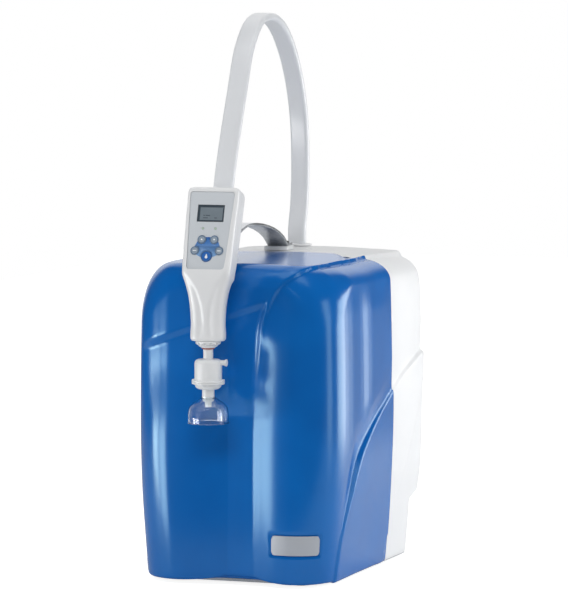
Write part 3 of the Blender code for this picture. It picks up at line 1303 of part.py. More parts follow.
def make_socket(frame, material):
    """Make the socket on the head's back that holds the hose's front end."""
    mount = make_empty("socket_frame", head_back(HEAD_LENGTH * 0.93), (-HEAD_TILT, 0.0, 0.0), frame)
    depth = HOSE_THICKNESS + 2.0 * (GAP + SOCKET_WALL)
    width = HOSE_WIDTH + 2.0 * (GAP + SOCKET_WALL)
    center = (0.0, depth / 2.0 + GAP)
    half = SOCKET_LENGTH / 2.0
    body = prism("hose_socket", rounded_rectangle(width, depth, SOCKET_WALL, center), -half, half,
                 material, parent=mount)
    bore = bmesh.new()
    middle = (0.0, GAP + SOCKET_WALL + GAP + HOSE_THICKNESS / 2.0)
    add_prism(bore, rounded_rectangle(HOSE_WIDTH + 2.0 * GAP, HOSE_THICKNESS + 2.0 * GAP,
                                      HOSE_THICKNESS * 0.3, middle), SOCKET_WALL - half,
              half + OVERRUN)
    cut(body, make_cutter("socket_bore", bore, mount))


def head_back(along):
    """Return a point on the head's flat back, in the handset's frame."""
    y = along * math.sin(HEAD_TILT) + HEAD_DEPTH / 2.0 * math.cos(HEAD_TILT)
    z = HANDSET_BOTTOM + HANDLE_LENGTH + along * math.cos(HEAD_TILT)
    return (0.0, y, z - HEAD_DEPTH / 2.0 * math.sin(HEAD_TILT))


def make_holder(frame, materials):
    """Make the curved holder arm, its base and the plate that the handset hangs on."""
    seat_y = (SEAM_Y + HOLDER_BACK - HANDSET_Y) / math.cos(HANDSET_TURN)
    seat_z = CABINET_HEIGHT + GAP
    mount = make_empty("holder_frame", (0.0, seat_y, seat_z), parent=frame)
    prism("holder_base", rounded_rectangle(HOLDER_BASE_WIDTH, HOLDER_BASE_LENGTH, WALL),
          0.0, HOLDER_BASE_HEIGHT, materials["white"], parent=mount)
    outline = arm_outline(seat_y, seat_z + HOLDER_BASE_HEIGHT + GAP)
    half = ARM_WIDTH / 2.0
    prism("holder_arm", outline, -half, half, materials["chrome"], "X", frame)


def plate_front():
    """Return the front face of the holder's hanging plate, in the handset's frame."""
    rise = plate_top() - HANDSET_BOTTOM - HANDLE_LENGTH
    back = rise * math.tan(HEAD_TILT) + HEAD_DEPTH / 2.0 / math.cos(HEAD_TILT)
    return back + HOOK_WALL + GAP


def plate_top():
    """Return the height of the hanging plate's top."""
    return HANDSET_BOTTOM + HANDLE_LENGTH + HEAD_LENGTH * PLATE_TOP_SHARE


def arm_outline(foot_y, foot_z):
    """Return the arm's side outline: a flat foot, a low arch and a hanging plate."""
    thick = ARM_THICKNESS
    front = plate_front()
    top = plate_top()
    half_foot = HOLDER_BASE_LENGTH / 2.0
    start = Vector((foot_y - half_foot / 3.0, foot_z + thick / 2.0))
    end = Vector((front + HOOK_REACH, top - thick / 2.0))
    middle = []
    for step in range(ARM_STEPS + 1):
        share = step / ARM_STEPS
        rise = ARM_RISE * math.sin(math.pi * share ** 0.8) * (1.0 - 0.35 * share)
        base = start.lerp(end, share)
        middle.append(Vector((base.x, base.y + rise)))
    upper = [(foot_y + half_foot, foot_z + thick), (start.x + thick / 4.0, foot_z + thick)]
    lower = [(foot_y + half_foot, foot_z), (start.x - thick / 4.0, foot_z)]
    for before, point, after in zip(middle, middle[1:], middle[2:]):
        along = (after - before).normalized()
        across = Vector((along.y, -along.x)) * (thick / 2.0)
        upper.append(tuple(point + across))
        lower.append(tuple(point - across))
    upper += [(end.x, top), (front, top), (front, top - PLATE_HEIGHT)]
    lower += [(end.x, top - thick), (front + thick, top - thick),
              (front + thick, top - PLATE_HEIGHT)]
    return upper + lower[::-1]


def make_hook(frame, material):
    """Make the hook on the head's back, whose lip rests on the arm's flat end."""
    lip_low = plate_top() + GAP
    high = lip_low + HOOK_WALL
    low = high - HOOK_HEIGHT
    front = (high - HANDSET_BOTTOM - HANDLE_LENGTH) * math.tan(HEAD_TILT) + HOOK_WALL
    back = plate_front() + ARM_THICKNESS + HOOK_LIP
    half = HOOK_WIDTH / 2.0
    outline = [(front, low), (back, low), (back, high), (front, high)]
    hook = prism("handset_hook", outline, -half, half, material, "X", frame)
    slot = bmesh.new()
    reach = ARM_WIDTH / 2.0 + GAP
    slot_front = plate_front() - GAP
    outline = [(slot_front, low - OVERRUN), (back + OVERRUN, low - OVERRUN),
               (back + OVERRUN, lip_low), (slot_front, lip_low)]
    add_prism(slot, outline, -reach, reach, "X")
    cut(hook, make_cutter("hook_slot", slot, frame))
    rows, _ = handset_rows(1.0, 0.0, GAP)
    body = bmesh.new()
    verts = [[body.verts.new(point) for point in row] for row in rows]
    for row, above in zip(verts, verts[1:]):
        for column in range(len(row) - 1):
            body.faces.new((row[column], row[column + 1], above[column + 1], above[column]))
        body.faces.new((row[-1], row[0], above[0], above[-1]))
    body.faces.new(verts[0])
    body.faces.new(verts[-1])
    cut(hook, make_cutter("handset_body_cutter", body, frame))
    return hook


def make_cartridges(materials):
    """Make the two purification cartridges, their caps, clip and linking tube."""
    y = BULKHEAD_FRONT - GAP - CLIP_THICKNESS - GAP - CARTRIDGE_RADIUS
    low = TRAY_TOP + GAP
    high = low + CARTRIDGE_HEIGHT
    shoulder = CARTRIDGE_RADIUS / 4.0
    for side, name in ((-1, "left"), (1, "right")):
        profile = [(0.0, low), (CARTRIDGE_RADIUS, low), (CARTRIDGE_RADIUS, high - shoulder),
                   (CARTRIDGE_RADIUS - shoulder, high), (0.0, high)]
        turned("cartridge_" + name, profile, materials["cartridge"],
               location=(side * CARTRIDGE_X, y, 0.0), segments=MEDIUM_SEGMENTS)
        cap_low = high + GAP
        cap_high = cap_low + CARTRIDGE_CAP_HEIGHT
        profile = [(0.0, cap_low), (CARTRIDGE_CAP_RADIUS, cap_low),
                   (CARTRIDGE_CAP_RADIUS, cap_high), (TUBE_RADIUS * 1.5, cap_high),
                   (TUBE_RADIUS * 1.5, cap_high + PORT_LENGTH), (0.0, cap_high + PORT_LENGTH)]
        turned("cartridge_cap_" + name, profile, materials["blue"],
               location=(side * CARTRIDGE_X, y, 0.0), segments=MEDIUM_SEGMENTS)
    port = high + GAP + CARTRIDGE_CAP_HEIGHT + PORT_LENGTH + GAP
    places = ((1.0, 0.0), (1.0, 0.25), (1.0, 0.5), (0.5, 1.0), (0.0, 1.0))
    half = [Vector((-CARTRIDGE_X * across, y, port + LINK_RISE * up)) for across, up in places]
    points = half + [Vector((-point.x, point.y, point.z)) for point in half[-2::-1]]
    path = bend_curve(points, 24)
    hints = [Vector((0.0, 1.0, 0.0))] * len(path)
    sweep("cartridge_link_tube", path, circle(TUBE_RADIUS, segments=10), hints, materials["tube"])
    make_clip(y, materials["grey"])


def make_clip(y, material):
    """Make the clip plate that holds both cartridges against the bulkhead."""
    reach = CARTRIDGE_X + CARTRIDGE_RADIUS * 0.75
    low = CLIP_LEVEL
    back = BULKHEAD_FRONT - GAP
    front = back - CLIP_THICKNESS - CARTRIDGE_RADIUS * 0.6
    clip = prism("cartridge_clip", rectangle(2.0 * reach, back - front, (0.0, (front + back) / 2.0)),
                 low, low + CLIP_HEIGHT, material)
    for side, name in ((-1, "left"), (1, "right")):
        bore = bmesh.new()
        add_turned(bore, rod(CARTRIDGE_RADIUS + GAP, low - OVERRUN, low + CLIP_HEIGHT + OVERRUN),
                   MEDIUM_SEGMENTS, (side * CARTRIDGE_X, y))
        cut(clip, make_cutter("clip_bore_" + name, bore))


def make_rear_works(materials):
    """Make the pump, supply, board, lamp, ultrafilter and valve behind the bulkhead."""
    floor = TRAY_TOP + GAP
    add_pump(BULKHEAD_BACK + GAP + PUMP_RADIUS, floor, materials)
    supply_y = BULKHEAD_BACK + GAP + SUPPLY_DEPTH / 2.0
    prism("power_supply", rectangle(SUPPLY_WIDTH, SUPPLY_DEPTH, (SUPPLY_X, supply_y)), floor,
          floor + SUPPLY_HEIGHT, materials["steel"])
    back = BULKHEAD_BACK + GAP
    center_z = BOARD_LEVEL + BOARD_HEIGHT / 2.0
    board_x = CABINET_WIDTH / 2.0 - BOARD_WIDTH / 2.0 - TOP_RADIUS / 2.0
    face = back + STANDOFF_LENGTH
    board = prism("main_board", rectangle(BOARD_WIDTH, BOARD_HEIGHT, (board_x, center_z)), face,
                  face + BOARD_THICKNESS, materials["board"], "Y")
    for side in (-1, 1):
        for end in (-1, 1):
            place = (board_x + side * (BOARD_WIDTH / 2.0 - STANDOFF_RADIUS * 2.0),
                     center_z + end * (BOARD_HEIGHT / 2.0 - STANDOFF_RADIUS * 2.0))
            post = bmesh.new()
            add_turned(post, rod(STANDOFF_RADIUS, back, face + BOARD_THICKNESS / 2.0),
                       TAIL_SEGMENTS, place, "Y")
            join(board, make_cutter("board_post_%d_%d" % (side + 1, end + 1), post))
    make_lamp(materials)
    make_ultrafilter(materials)
    manifold_y = back + MANIFOLD_DEPTH / 2.0
    prism("valve_manifold", rectangle(MANIFOLD_WIDTH, MANIFOLD_DEPTH, (MANIFOLD_X, manifold_y)),
          MANIFOLD_LEVEL, MANIFOLD_LEVEL + MANIFOLD_HEIGHT, materials["white"])
    top = MANIFOLD_LEVEL + MANIFOLD_HEIGHT + GAP
    turned("solenoid_valve", rod(SOLENOID_RADIUS, top, top + SOLENOID_HEIGHT), materials["black"],
           location=(MANIFOLD_X - MANIFOLD_WIDTH / 4.0, manifold_y, 0.0),
           segments=SMALL_SEGMENTS)
    turned("conductivity_cell", rod(CELL_RADIUS, top, top + CELL_LENGTH), materials["steel"],
           location=(MANIFOLD_X + MANIFOLD_WIDTH / 4.0, manifold_y, 0.0),
           segments=SMALL_SEGMENTS)


def add_pump(y, floor, materials):
    """Make the recirculation pump and its motor on the tray."""
    center_z = floor + PUMP_RADIUS
    start = GAP - WORKS_HALF
    mesh_data = bmesh.new()
    add_turned(mesh_data, rod(PUMP_RADIUS, start, start + PUMP_LENGTH), MEDIUM_SEGMENTS, (y, center_z), "X")
    object_from_bmesh("pump_head", mesh_data, materials["black"])
    mesh_data = bmesh.new()
    low = start + PUMP_LENGTH + GAP
    add_turned(mesh_data, rod(MOTOR_RADIUS, low, low + MOTOR_LENGTH), MEDIUM_SEGMENTS, (y, center_z), "X")
    object_from_bmesh("pump_motor", mesh_data, materials["steel"])


def make_lamp(materials):
    """Make the ultraviolet lamp's steel housing, which stands on the tray."""
    y = BULKHEAD_BACK + GAP + LAMP_RADIUS
    low = TRAY_TOP + GAP
    profile = rod(LAMP_RADIUS, low, low + LAMP_LENGTH)
    turned("lamp_housing", profile, materials["steel"], location=(LAMP_X, y, 0.0), segments=MEDIUM_SEGMENTS)


def make_ultrafilter(materials):
    """Make the ultrafilter column, which is strapped to the bulkhead."""
    y = BULKHEAD_BACK + GAP + ULTRAFILTER_RADIUS
    low = MANIFOLD_LEVEL
    profile = rod(ULTRAFILTER_RADIUS, low, low + ULTRAFILTER_LENGTH)
    turned("ultrafilter", profile, materials["cartridge"], location=(ULTRAFILTER_X, y, 0.0),
           segments=MEDIUM_SEGMENTS)


def make_materials():
    """Return the materials by slot name."""
    rows = (("cover", (0.006, 0.105, 0.46), 0.32, 0.0, 1.0),
            ("white", (0.86, 0.87, 0.88), 0.40, 0.0, 1.0),
            ("handset", (0.86, 0.87, 0.88), 0.35, 0.0, 1.0),
            ("grey", (0.42, 0.44, 0.46), 0.50, 0.0, 1.0),
            ("keypad", (0.62, 0.65, 0.68), 0.45, 0.0, 1.0),
            ("window", (0.20, 0.24, 0.28), 0.10, 0.0, 0.5),
            ("screen", (0.22, 0.28, 0.32), 0.30, 0.0, 1.0),
            ("key", (0.40, 0.47, 0.55), 0.45, 0.0, 1.0),
            ("blue", (0.06, 0.24, 0.62), 0.40, 0.0, 1.0),
            ("light", (0.55, 0.75, 0.60), 0.30, 0.0, 1.0),
            ("board", (0.04, 0.22, 0.12), 0.50, 0.0, 1.0),
            ("red", (0.62, 0.10, 0.06), 0.50, 0.0, 1.0),
            ("membrane", (0.90, 0.90, 0.86), 0.80, 0.0, 1.0),
            ("clear", (0.93, 0.96, 0.97), 0.05, 0.0, 0.35),
            ("hose", (0.84, 0.85, 0.86), 0.35, 0.0, 1.0),
            ("chrome", (0.75, 0.76, 0.78), 0.12, 1.0, 1.0),
            ("steel", (0.58, 0.58, 0.58), 0.40, 1.0, 1.0),
            ("rubber", (0.03, 0.03, 0.03), 0.80, 0.0, 1.0),
            ("black", (0.03, 0.03, 0.035), 0.45, 0.0, 1.0),
            ("green", (0.03, 0.03, 0.035), 0.40, 0.0, 1.0),
            ("panel", (0.70, 0.71, 0.72), 0.45, 0.0, 1.0),
            ("fitting", (0.10, 0.12, 0.30), 0.40, 0.0, 1.0),
            ("cartridge", (0.80, 0.82, 0.84), 0.45, 0.0, 1.0),
            ("tube", (0.80, 0.84, 0.88), 0.30, 0.0, 1.0),
            ("plate", (0.85, 0.86, 0.87), 0.35, 0.0, 1.0))
    return {row[0]: make_material(*row) for row in rows}


def make_handset(frame, materials):
    """Make everything that hangs on the holder."""
    top_along = HEAD_LENGTH
    face = -HEAD_DEPTH / 2.0
    head_y = top_along * math.sin(HEAD_TILT) + face * math.cos(HEAD_TILT)
    head_z = HANDSET_BOTTOM + HANDLE_LENGTH + top_along * math.cos(HEAD_TILT)
    head = make_empty("head_frame", (0.0, head_y, head_z - face * math.sin(HEAD_TILT)),
                      (-HEAD_TILT, 0.0, 0.0), frame)
    make_handset_shells(frame, head, materials)
    board_back = make_keypad(head, materials)
    valve_z = -PANEL_TOP_MARGIN - PANEL_LENGTH / 2.0
    valve_y = board_back + GAP + VALVE_RADIUS
    turned("dispense_valve", rod(VALVE_RADIUS, -VALVE_LENGTH / 2.0, VALVE_LENGTH / 2.0),
           materials["black"], head, (0.0, valve_y, valve_z), SMALL_SEGMENTS)
    seal_bottom = make_outlet(frame, materials)
    make_filter(frame, seal_bottom, materials)
    make_hook(frame, materials["handset"])


def main():
    """Build the whole object."""
    clear_scene()
    materials = make_materials()
    make_base(materials["steel"], materials["rubber"])
    make_bulkhead(materials["steel"])
    make_rear_housing(materials["white"])
    make_front_cover(materials["cover"])
    make_badge(materials["plate"])
    make_connections(materials)
    make_cartridges(materials)
    make_rear_works(materials)
    frame = make_empty("handset_frame", (HANDSET_X, HANDSET_Y, 0.0), (0.0, 0.0, HANDSET_TURN))
    make_handset(frame, materials)
    make_holder(frame, materials)
    make_hose(frame, materials)


main()
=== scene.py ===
"""Look scene for a bench-top ultrapure water system.

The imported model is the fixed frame, and each class below dresses one of its
sub-assemblies: the sculpted blue cover, the white housing, the handset with its
keys, final filter and bell, the chrome holder arm, the flat arched hose and the
works inside. Lengths are in metres, +X to the right, -Y to the front, +Z up.
"""

from __future__ import annotations

import logging
import math
from dataclasses import dataclass, field
from enum import Enum, StrEnum
from functools import cache
from typing import Callable, Sequence

import bmesh
import bpy
import numpy as np
from mathutils import Matrix, Vector


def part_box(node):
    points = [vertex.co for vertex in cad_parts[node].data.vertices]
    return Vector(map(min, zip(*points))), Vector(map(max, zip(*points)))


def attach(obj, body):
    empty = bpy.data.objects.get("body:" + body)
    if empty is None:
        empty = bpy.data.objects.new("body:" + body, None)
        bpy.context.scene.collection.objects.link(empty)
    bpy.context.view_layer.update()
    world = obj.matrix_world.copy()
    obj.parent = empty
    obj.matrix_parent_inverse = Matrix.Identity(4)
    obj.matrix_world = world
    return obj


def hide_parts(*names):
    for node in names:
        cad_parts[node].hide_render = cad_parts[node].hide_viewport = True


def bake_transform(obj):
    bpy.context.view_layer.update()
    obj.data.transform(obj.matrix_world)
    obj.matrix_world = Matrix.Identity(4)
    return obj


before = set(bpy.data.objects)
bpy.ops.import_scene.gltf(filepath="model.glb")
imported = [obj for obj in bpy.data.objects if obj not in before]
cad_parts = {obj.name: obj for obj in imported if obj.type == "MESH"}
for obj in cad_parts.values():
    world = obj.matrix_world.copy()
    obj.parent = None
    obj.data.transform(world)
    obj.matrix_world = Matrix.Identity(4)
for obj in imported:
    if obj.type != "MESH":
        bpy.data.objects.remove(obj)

LOG = logging.getLogger("water_system")
SMOOTH_ANGLE = math.radians(38.0)
CLEARANCE = 0.0003
QUARTER = math.pi / 2.0
Outline = Sequence[tuple[float, float]]
Table = tuple[tuple[float, float], ...]


class Body(StrEnum):
    """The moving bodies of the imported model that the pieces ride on."""

    CABINET = "cabinet"
    HANDSET = "handset"
    NUT = "outlet_nut"
    FILTER = "final_filter"
    SWITCH = "power_switch"


def smooth(value: np.ndarray | float) -> np.ndarray | float:
    """Ease a share from 0 to 1, clamped outside."""
    clipped = np.clip(value, 0.0, 1.0)
    return clipped * clipped * (3.0 - 2.0 * clipped)


def add_object(name: str, data: bpy.types.ID) -> bpy.types.Object:
    """Put an object that holds this data into the scene."""
    item = bpy.data.objects.new(name, data)
    bpy.context.scene.collection.objects.link(item)
    return item


def shade(piece: bpy.types.Object, angle: float = SMOOTH_ANGLE) -> None:
    """Shade a piece smooth, and leave edges sharper than an angle crisp."""
    piece.data.shade_smooth()
    piece.data.set_sharp_from_angle(angle=angle)


def finished_mesh(item: bpy.types.Object) -> bpy.types.Mesh:
    """Return what an object's modifiers make of it, as a plain mesh."""
    bpy.context.view_layer.update()
    graph = bpy.context.evaluated_depsgraph_get()
    return bpy.data.meshes.new_from_object(item.evaluated_get(graph))


def outward(piece: bpy.types.Object) -> None:
    """Turn a closed mesh's faces to point outwards, after merging doubles."""
    mesh = bmesh.new()
    mesh.from_mesh(piece.data)
    bmesh.ops.remove_doubles(mesh, verts=mesh.verts[:], dist=1e-7)
    bmesh.ops.recalc_face_normals(mesh, faces=mesh.faces[:])
    mesh.to_mesh(piece.data)
    mesh.free()


def settle(piece: bpy.types.Object, body: str, replaced: Sequence[str]) -> None:
    """Hand a piece to its body and nodes, and report it.

    Args:
        piece: The piece, at the origin.
        body: The body that it rides on, or an empty string to leave it free.
        replaced: CAD nodes that it stands for.
    """
    if body:
        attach(piece, str(body))
    if replaced:
        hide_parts(*replaced)
    LOG.info("%s: %d faces", piece.name, len(piece.data.polygons))


def make_piece(name: str, shape: Shape, body: str, finish: str,
               replaced: Sequence[str] = (), angle: float = SMOOTH_ANGLE,
               merge: bool = True) -> bpy.types.Object:
    """Make a finished piece from a closed shape, and hand it to its body.

    Args:
        name: The piece's name.
        shape: Its shape, in place.
        body: The body that it rides on, or an empty string to leave it free.
        finish: Its finish's name.
        replaced: CAD nodes that it stands for.
        angle: Edges sharper than this stay crisp.
        merge: Whether its doubles are merged and its faces turned outwards.

    Returns:
        The new object.
    """
    piece = add_object(name, shape.mesh(name))
    shade(piece, angle)
    piece.data.materials.append(material(finish))
    settle(piece, body, replaced)
    if merge:
        outward(piece)
    return piece


@dataclass
class Shape:
    """A mesh being gathered from simple closed forms."""

    points: list[Vector] = field(default_factory=list)
    faces: list[tuple[int, ...]] = field(default_factory=list)

    def moved(self, matrix: Matrix) -> Shape:
        """Return the shape with its points carried by a matrix."""
        return Shape([matrix @ point for point in self.points], list(self.faces))

    def place(self, other: Shape, matrix: Matrix) -> None:
        """Add another shape, carried by a matrix."""
        start = len(self.points)
        self.points.extend(matrix @ point for point in other.points)
        self.faces.extend(tuple(start + index for index in face) for face in other.faces)

    def mesh(self, name: str) -> bpy.types.Mesh:
        """Return the shape as a mesh with this name."""
        mesh = bpy.data.meshes.new(name)
        mesh.from_pydata([tuple(point) for point in self.points], [], self.faces)
        mesh.update()
        return mesh


def lofted(rings: Sequence[Sequence]) -> Shape:
    """Return the skin over closed loops of points of equal length, with flat ends.

    Args:
        rings: The loops, all wound the same way.

    Returns:
        The closed shape.
    """
    count = len(rings[0])
    end = len(rings) * count
    faces = [tuple(range(count))[::-1], tuple(range(end - count, end))]
    for low in range(0, end - count, count):
        for column in range(count):
            after = (column + 1) % count
            faces.append((low + column, low + after, low + count + after, low + count + column))
    return shape_of([point for ring in rings for point in ring], faces)


def shape_of(points: Sequence, faces: Sequence) -> Shape:
    """Return the shape with these points and faces."""
    return Shape([Vector(point) for point in points], list(faces))


def turned(profile: Outline, segments: int = 72) -> Shape:
    """Turn a closed (radius, height) profile about Z.

    Args:
        profile: Points round the section; a point with no radius lies on the axis.
        segments: Steps round the axis.

    Returns:
        The turned shape.
    """
    points: list[tuple[float, float, float]] = []
    rows: list[list[int]] = []
    for radius, height in profile:
        if radius <= 0.0:
            rows.append([len(points)] * segments)
            points.append((0.0, 0.0, height))
            continue
        rows.append(list(range(len(points), len(points) + segments)))
        for step in range(segments):
            angle = 2.0 * math.pi * step / segments
            points.append((radius * math.cos(angle), radius * math.sin(angle), height))
    pairs = list(zip(rows, rows[1:]))
    if profile[0][0] > 0.0:
        pairs.append((rows[-1], rows[0]))
    faces = []
    for low, high in pairs:
        for step in range(segments):
            after = (step + 1) % segments
            face = tuple(dict.fromkeys((low[step], low[after], high[after], high[step])))
            if len(face) > 2:
                faces.append(face)
    return shape_of(points, faces)


def rounded(profile: Outline, radius: float, steps: int = 3,
            closed: bool = True) -> Outline:
    """Round the corners of a flat outline or a turned profile.

    Args:
        profile: The corners in order.
        radius: The fillet's size along each edge.
        steps: Points added on each corner.
        closed: Whether the outline's ends join; open ends stay sharp.

    Returns:
        The softened outline.
    """
    result = []
    count = len(profile)
    for index, corner in enumerate(profile):
        point = Vector(corner)
        if not closed and index in (0, count - 1):
            result.append(tuple(point))
            continue
        before = Vector(profile[index - 1]) - point
        after = Vector(profile[(index + 1) % count]) - point
        reach = min(radius, before.length * 0.45, after.length * 0.45)
        if reach < 1e-6:
            result.append(tuple(point))
            continue
        start = point + before.normalized() * reach
        end = point + after.normalized() * reach
        for step in range(steps + 1):
            share = step / steps
            result.append(tuple(start.lerp(point, share).lerp(point.lerp(end, share), share)))
    return result


def slab(outline: Outline, low: float, high: float, edge: float, steps: int = 2) -> Shape:
    """Raise an outline into a plate whose edges are rounded, from low to high along Z.

    Args:
        outline: Flat points, wound counter-clockwise.
        low: The plate's lower face.
        high: Its upper face.
        edge: The rounding of both faces' edges.
        steps: Points on each rounding.

    Returns:
        The plate.
    """
    normals = []
    for index in range(len(outline)):
        along = Vector(outline[(index + 1) % len(outline)]) - Vector(outline[index - 1])
        along.normalize()
        normals.append(Vector((along.y, -along.x)))
    rings = []
    for base, sign in ((low, 1.0), (high, -1.0)):
        part = []
        for step in range(steps + 1):
            angle = QUARTER * step / steps
            inset = edge * (1.0 - math.sin(angle))
            height = base + sign * edge * (1.0 - math.cos(angle))
            part.append([(*(Vector(p) - n * inset), height) for p, n in zip(outline, normals)])
        rings.extend(part if sign > 0.0 else part[::-1])
    return lofted(rings)


def round_box(width: float, height: float, radius: float, steps: int = 5) -> Outline:
    """Return a rectangle's outline with round corners, centred and counter-clockwise.

    Args:
        width: Its size across.
        height: Its size up.
        radius: The corners' radius.
        steps: Points on each corner.

    Returns:
        The outline.
    """
    points = []
    for x_side, y_side, start in ((1, 1, 0.0), (-1, 1, 90.0), (-1, -1, 180.0), (1, -1, 270.0)):
        for step in range(steps + 1):
            angle = math.radians(start + 90.0 * step / steps)
            points.append((x_side * (width / 2.0 - radius) + radius * math.cos(angle),
                           y_side * (height / 2.0 - radius) + radius * math.sin(angle)))
    return points


def skin(rows: int, columns: int, first: int = 0, inside: bool = False) -> list[tuple[int, ...]]:
    """Return the faces over a grid of points that are numbered row by row.

    Args:
        rows: How many rows.
        columns: How many columns.
        first: The first point's number.
        inside: Whether the faces look the other way.

    Returns:
        The faces.
    """
    faces = []
    for row in range(rows - 1):
        for start in range(first + row * columns, first + (row + 1) * columns - 1):
            low, high = (start, start + 1), (start + columns, start + columns + 1)
            faces.append((low[0], high[0], high[1], low[1]) if inside else low + high[::-1])
    return faces


def ring_points(radius: float, count: int) -> Outline:
    """Return a circle's outline, counter-clockwise."""
    return [(radius * math.cos(2.0 * math.pi * step / count),
             radius * math.sin(2.0 * math.pi * step / count)) for step in range(count)]


def add_node(tree: bpy.types.NodeTree, kind: str, settings: dict | None = None,
             inputs: dict | None = None) -> bpy.types.Node:
    """Add a node with its settings and what feeds its inputs.

    Args:
        tree: The tree that it goes into.
        kind: Blender's name for the node.
        settings: Attributes to set on it.
        inputs: Values or output sockets by input name or index.

    Returns:
        The node.
    """
    node = tree.nodes.new(kind)
    for key, value in (settings or {}).items():
        setattr(node, key, value)
    for key, value in (inputs or {}).items():
        if isinstance(value, bpy.types.NodeSocket):
            tree.links.new(value, node.inputs[key])
        else:
            node.inputs[key].default_value = value
    return node


def linear(code: str) -> tuple[float, float, float, float]:
    """Turn an sRGB hex colour into the linear values that shaders take."""
    channels = [int(code[index:index + 2], 16) / 255.0 for index in (1, 3, 5)]
    values = [c / 12.92 if c <= 0.04045 else ((c + 0.055) / 1.055) ** 2.4 for c in channels]
    return (values[0], values[1], values[2], 1.0)


class Grain(Enum):
    """How a surface was made, which gives its pattern's stretch along X, Y and Z."""

    MOULDED = (1.0, 1.0, 1.0)
    BRUSHED_ACROSS = (0.04, 1.0, 1.0)
    BRUSHED_UP = (1.0, 1.0, 0.04)


@dataclass(frozen=True)
class Finish:
    """One real material and how its surface was made.

    The colour drifts between two close tones, or goes from one to the other
    between the two heights of rise. The grain gives bump and a spread of
    roughness, and drift and grain are sized in millimetres.
    """

    name: str
    color: str
    tone: str
    roughness: float
    spread: float = 0.04
    metallic: float = 0.0
    drift_mm: float = 40.0
    grain_mm: float = 0.8
    bump_mm: float = 0.02
    grain: Grain = Grain.MOULDED
    extras: tuple[tuple[str, object], ...] = ()
    rise: tuple[float, float] | None = None

    def build(self) -> bpy.types.Material:
        """Return the node material."""
        material = bpy.data.materials.new(self.name)
        material.use_nodes = True
        tree = material.node_tree
        shader = tree.nodes["Principled BSDF"]
        place = add_node(tree, "ShaderNodeTexCoord").outputs["Object"]
        stretched = add_node(tree, "ShaderNodeMapping", {}, {"Vector": place, "Scale": self.grain.value})
        drift = add_node(tree, "ShaderNodeTexNoise", {}, {
            "Vector": place, "Scale": 1000.0 / self.drift_mm, "Detail": 3.0, "Roughness": 0.55})
        share = drift.outputs["Fac"]
        if self.rise:
            height = add_node(tree, "ShaderNodeSeparateXYZ", {}, {0: place}).outputs["Z"]
            share = add_node(tree, "ShaderNodeMapRange", {}, {
                "Value": height, "From Min": self.rise[0], "From Max": self.rise[1]}).outputs[0]
        tones = add_node(tree, "ShaderNodeMix", {"data_type": "RGBA"}, {
            0: share, 6: linear(self.color), 7: linear(self.tone)})
        grain = add_node(tree, "ShaderNodeTexNoise", {}, {
            "Vector": stretched.outputs["Vector"], "Scale": 1000.0 / self.grain_mm, "Detail": 2.0})
        rough = add_node(tree, "ShaderNodeMapRange", {}, {
            "Value": grain.outputs["Fac"], "From Min": 0.3, "From Max": 0.7,
            "To Min": self.roughness - self.spread, "To Max": self.roughness + self.spread})
        bump = add_node(tree, "ShaderNodeBump", {}, {
            "Height": grain.outputs["Fac"], "Strength": 0.6, "Distance": self.bump_mm / 1000.0})
        tree.links.new(tones.outputs[2], shader.inputs["Base Color"])
        tree.links.new(rough.outputs["Result"], shader.inputs["Roughness"])
        tree.links.new(bump.outputs["Normal"], shader.inputs["Normal"])
        shader.inputs["Metallic"].default_value = self.metallic
        for socket, value in self.extras:
            shader.inputs[socket].default_value = value
        return material


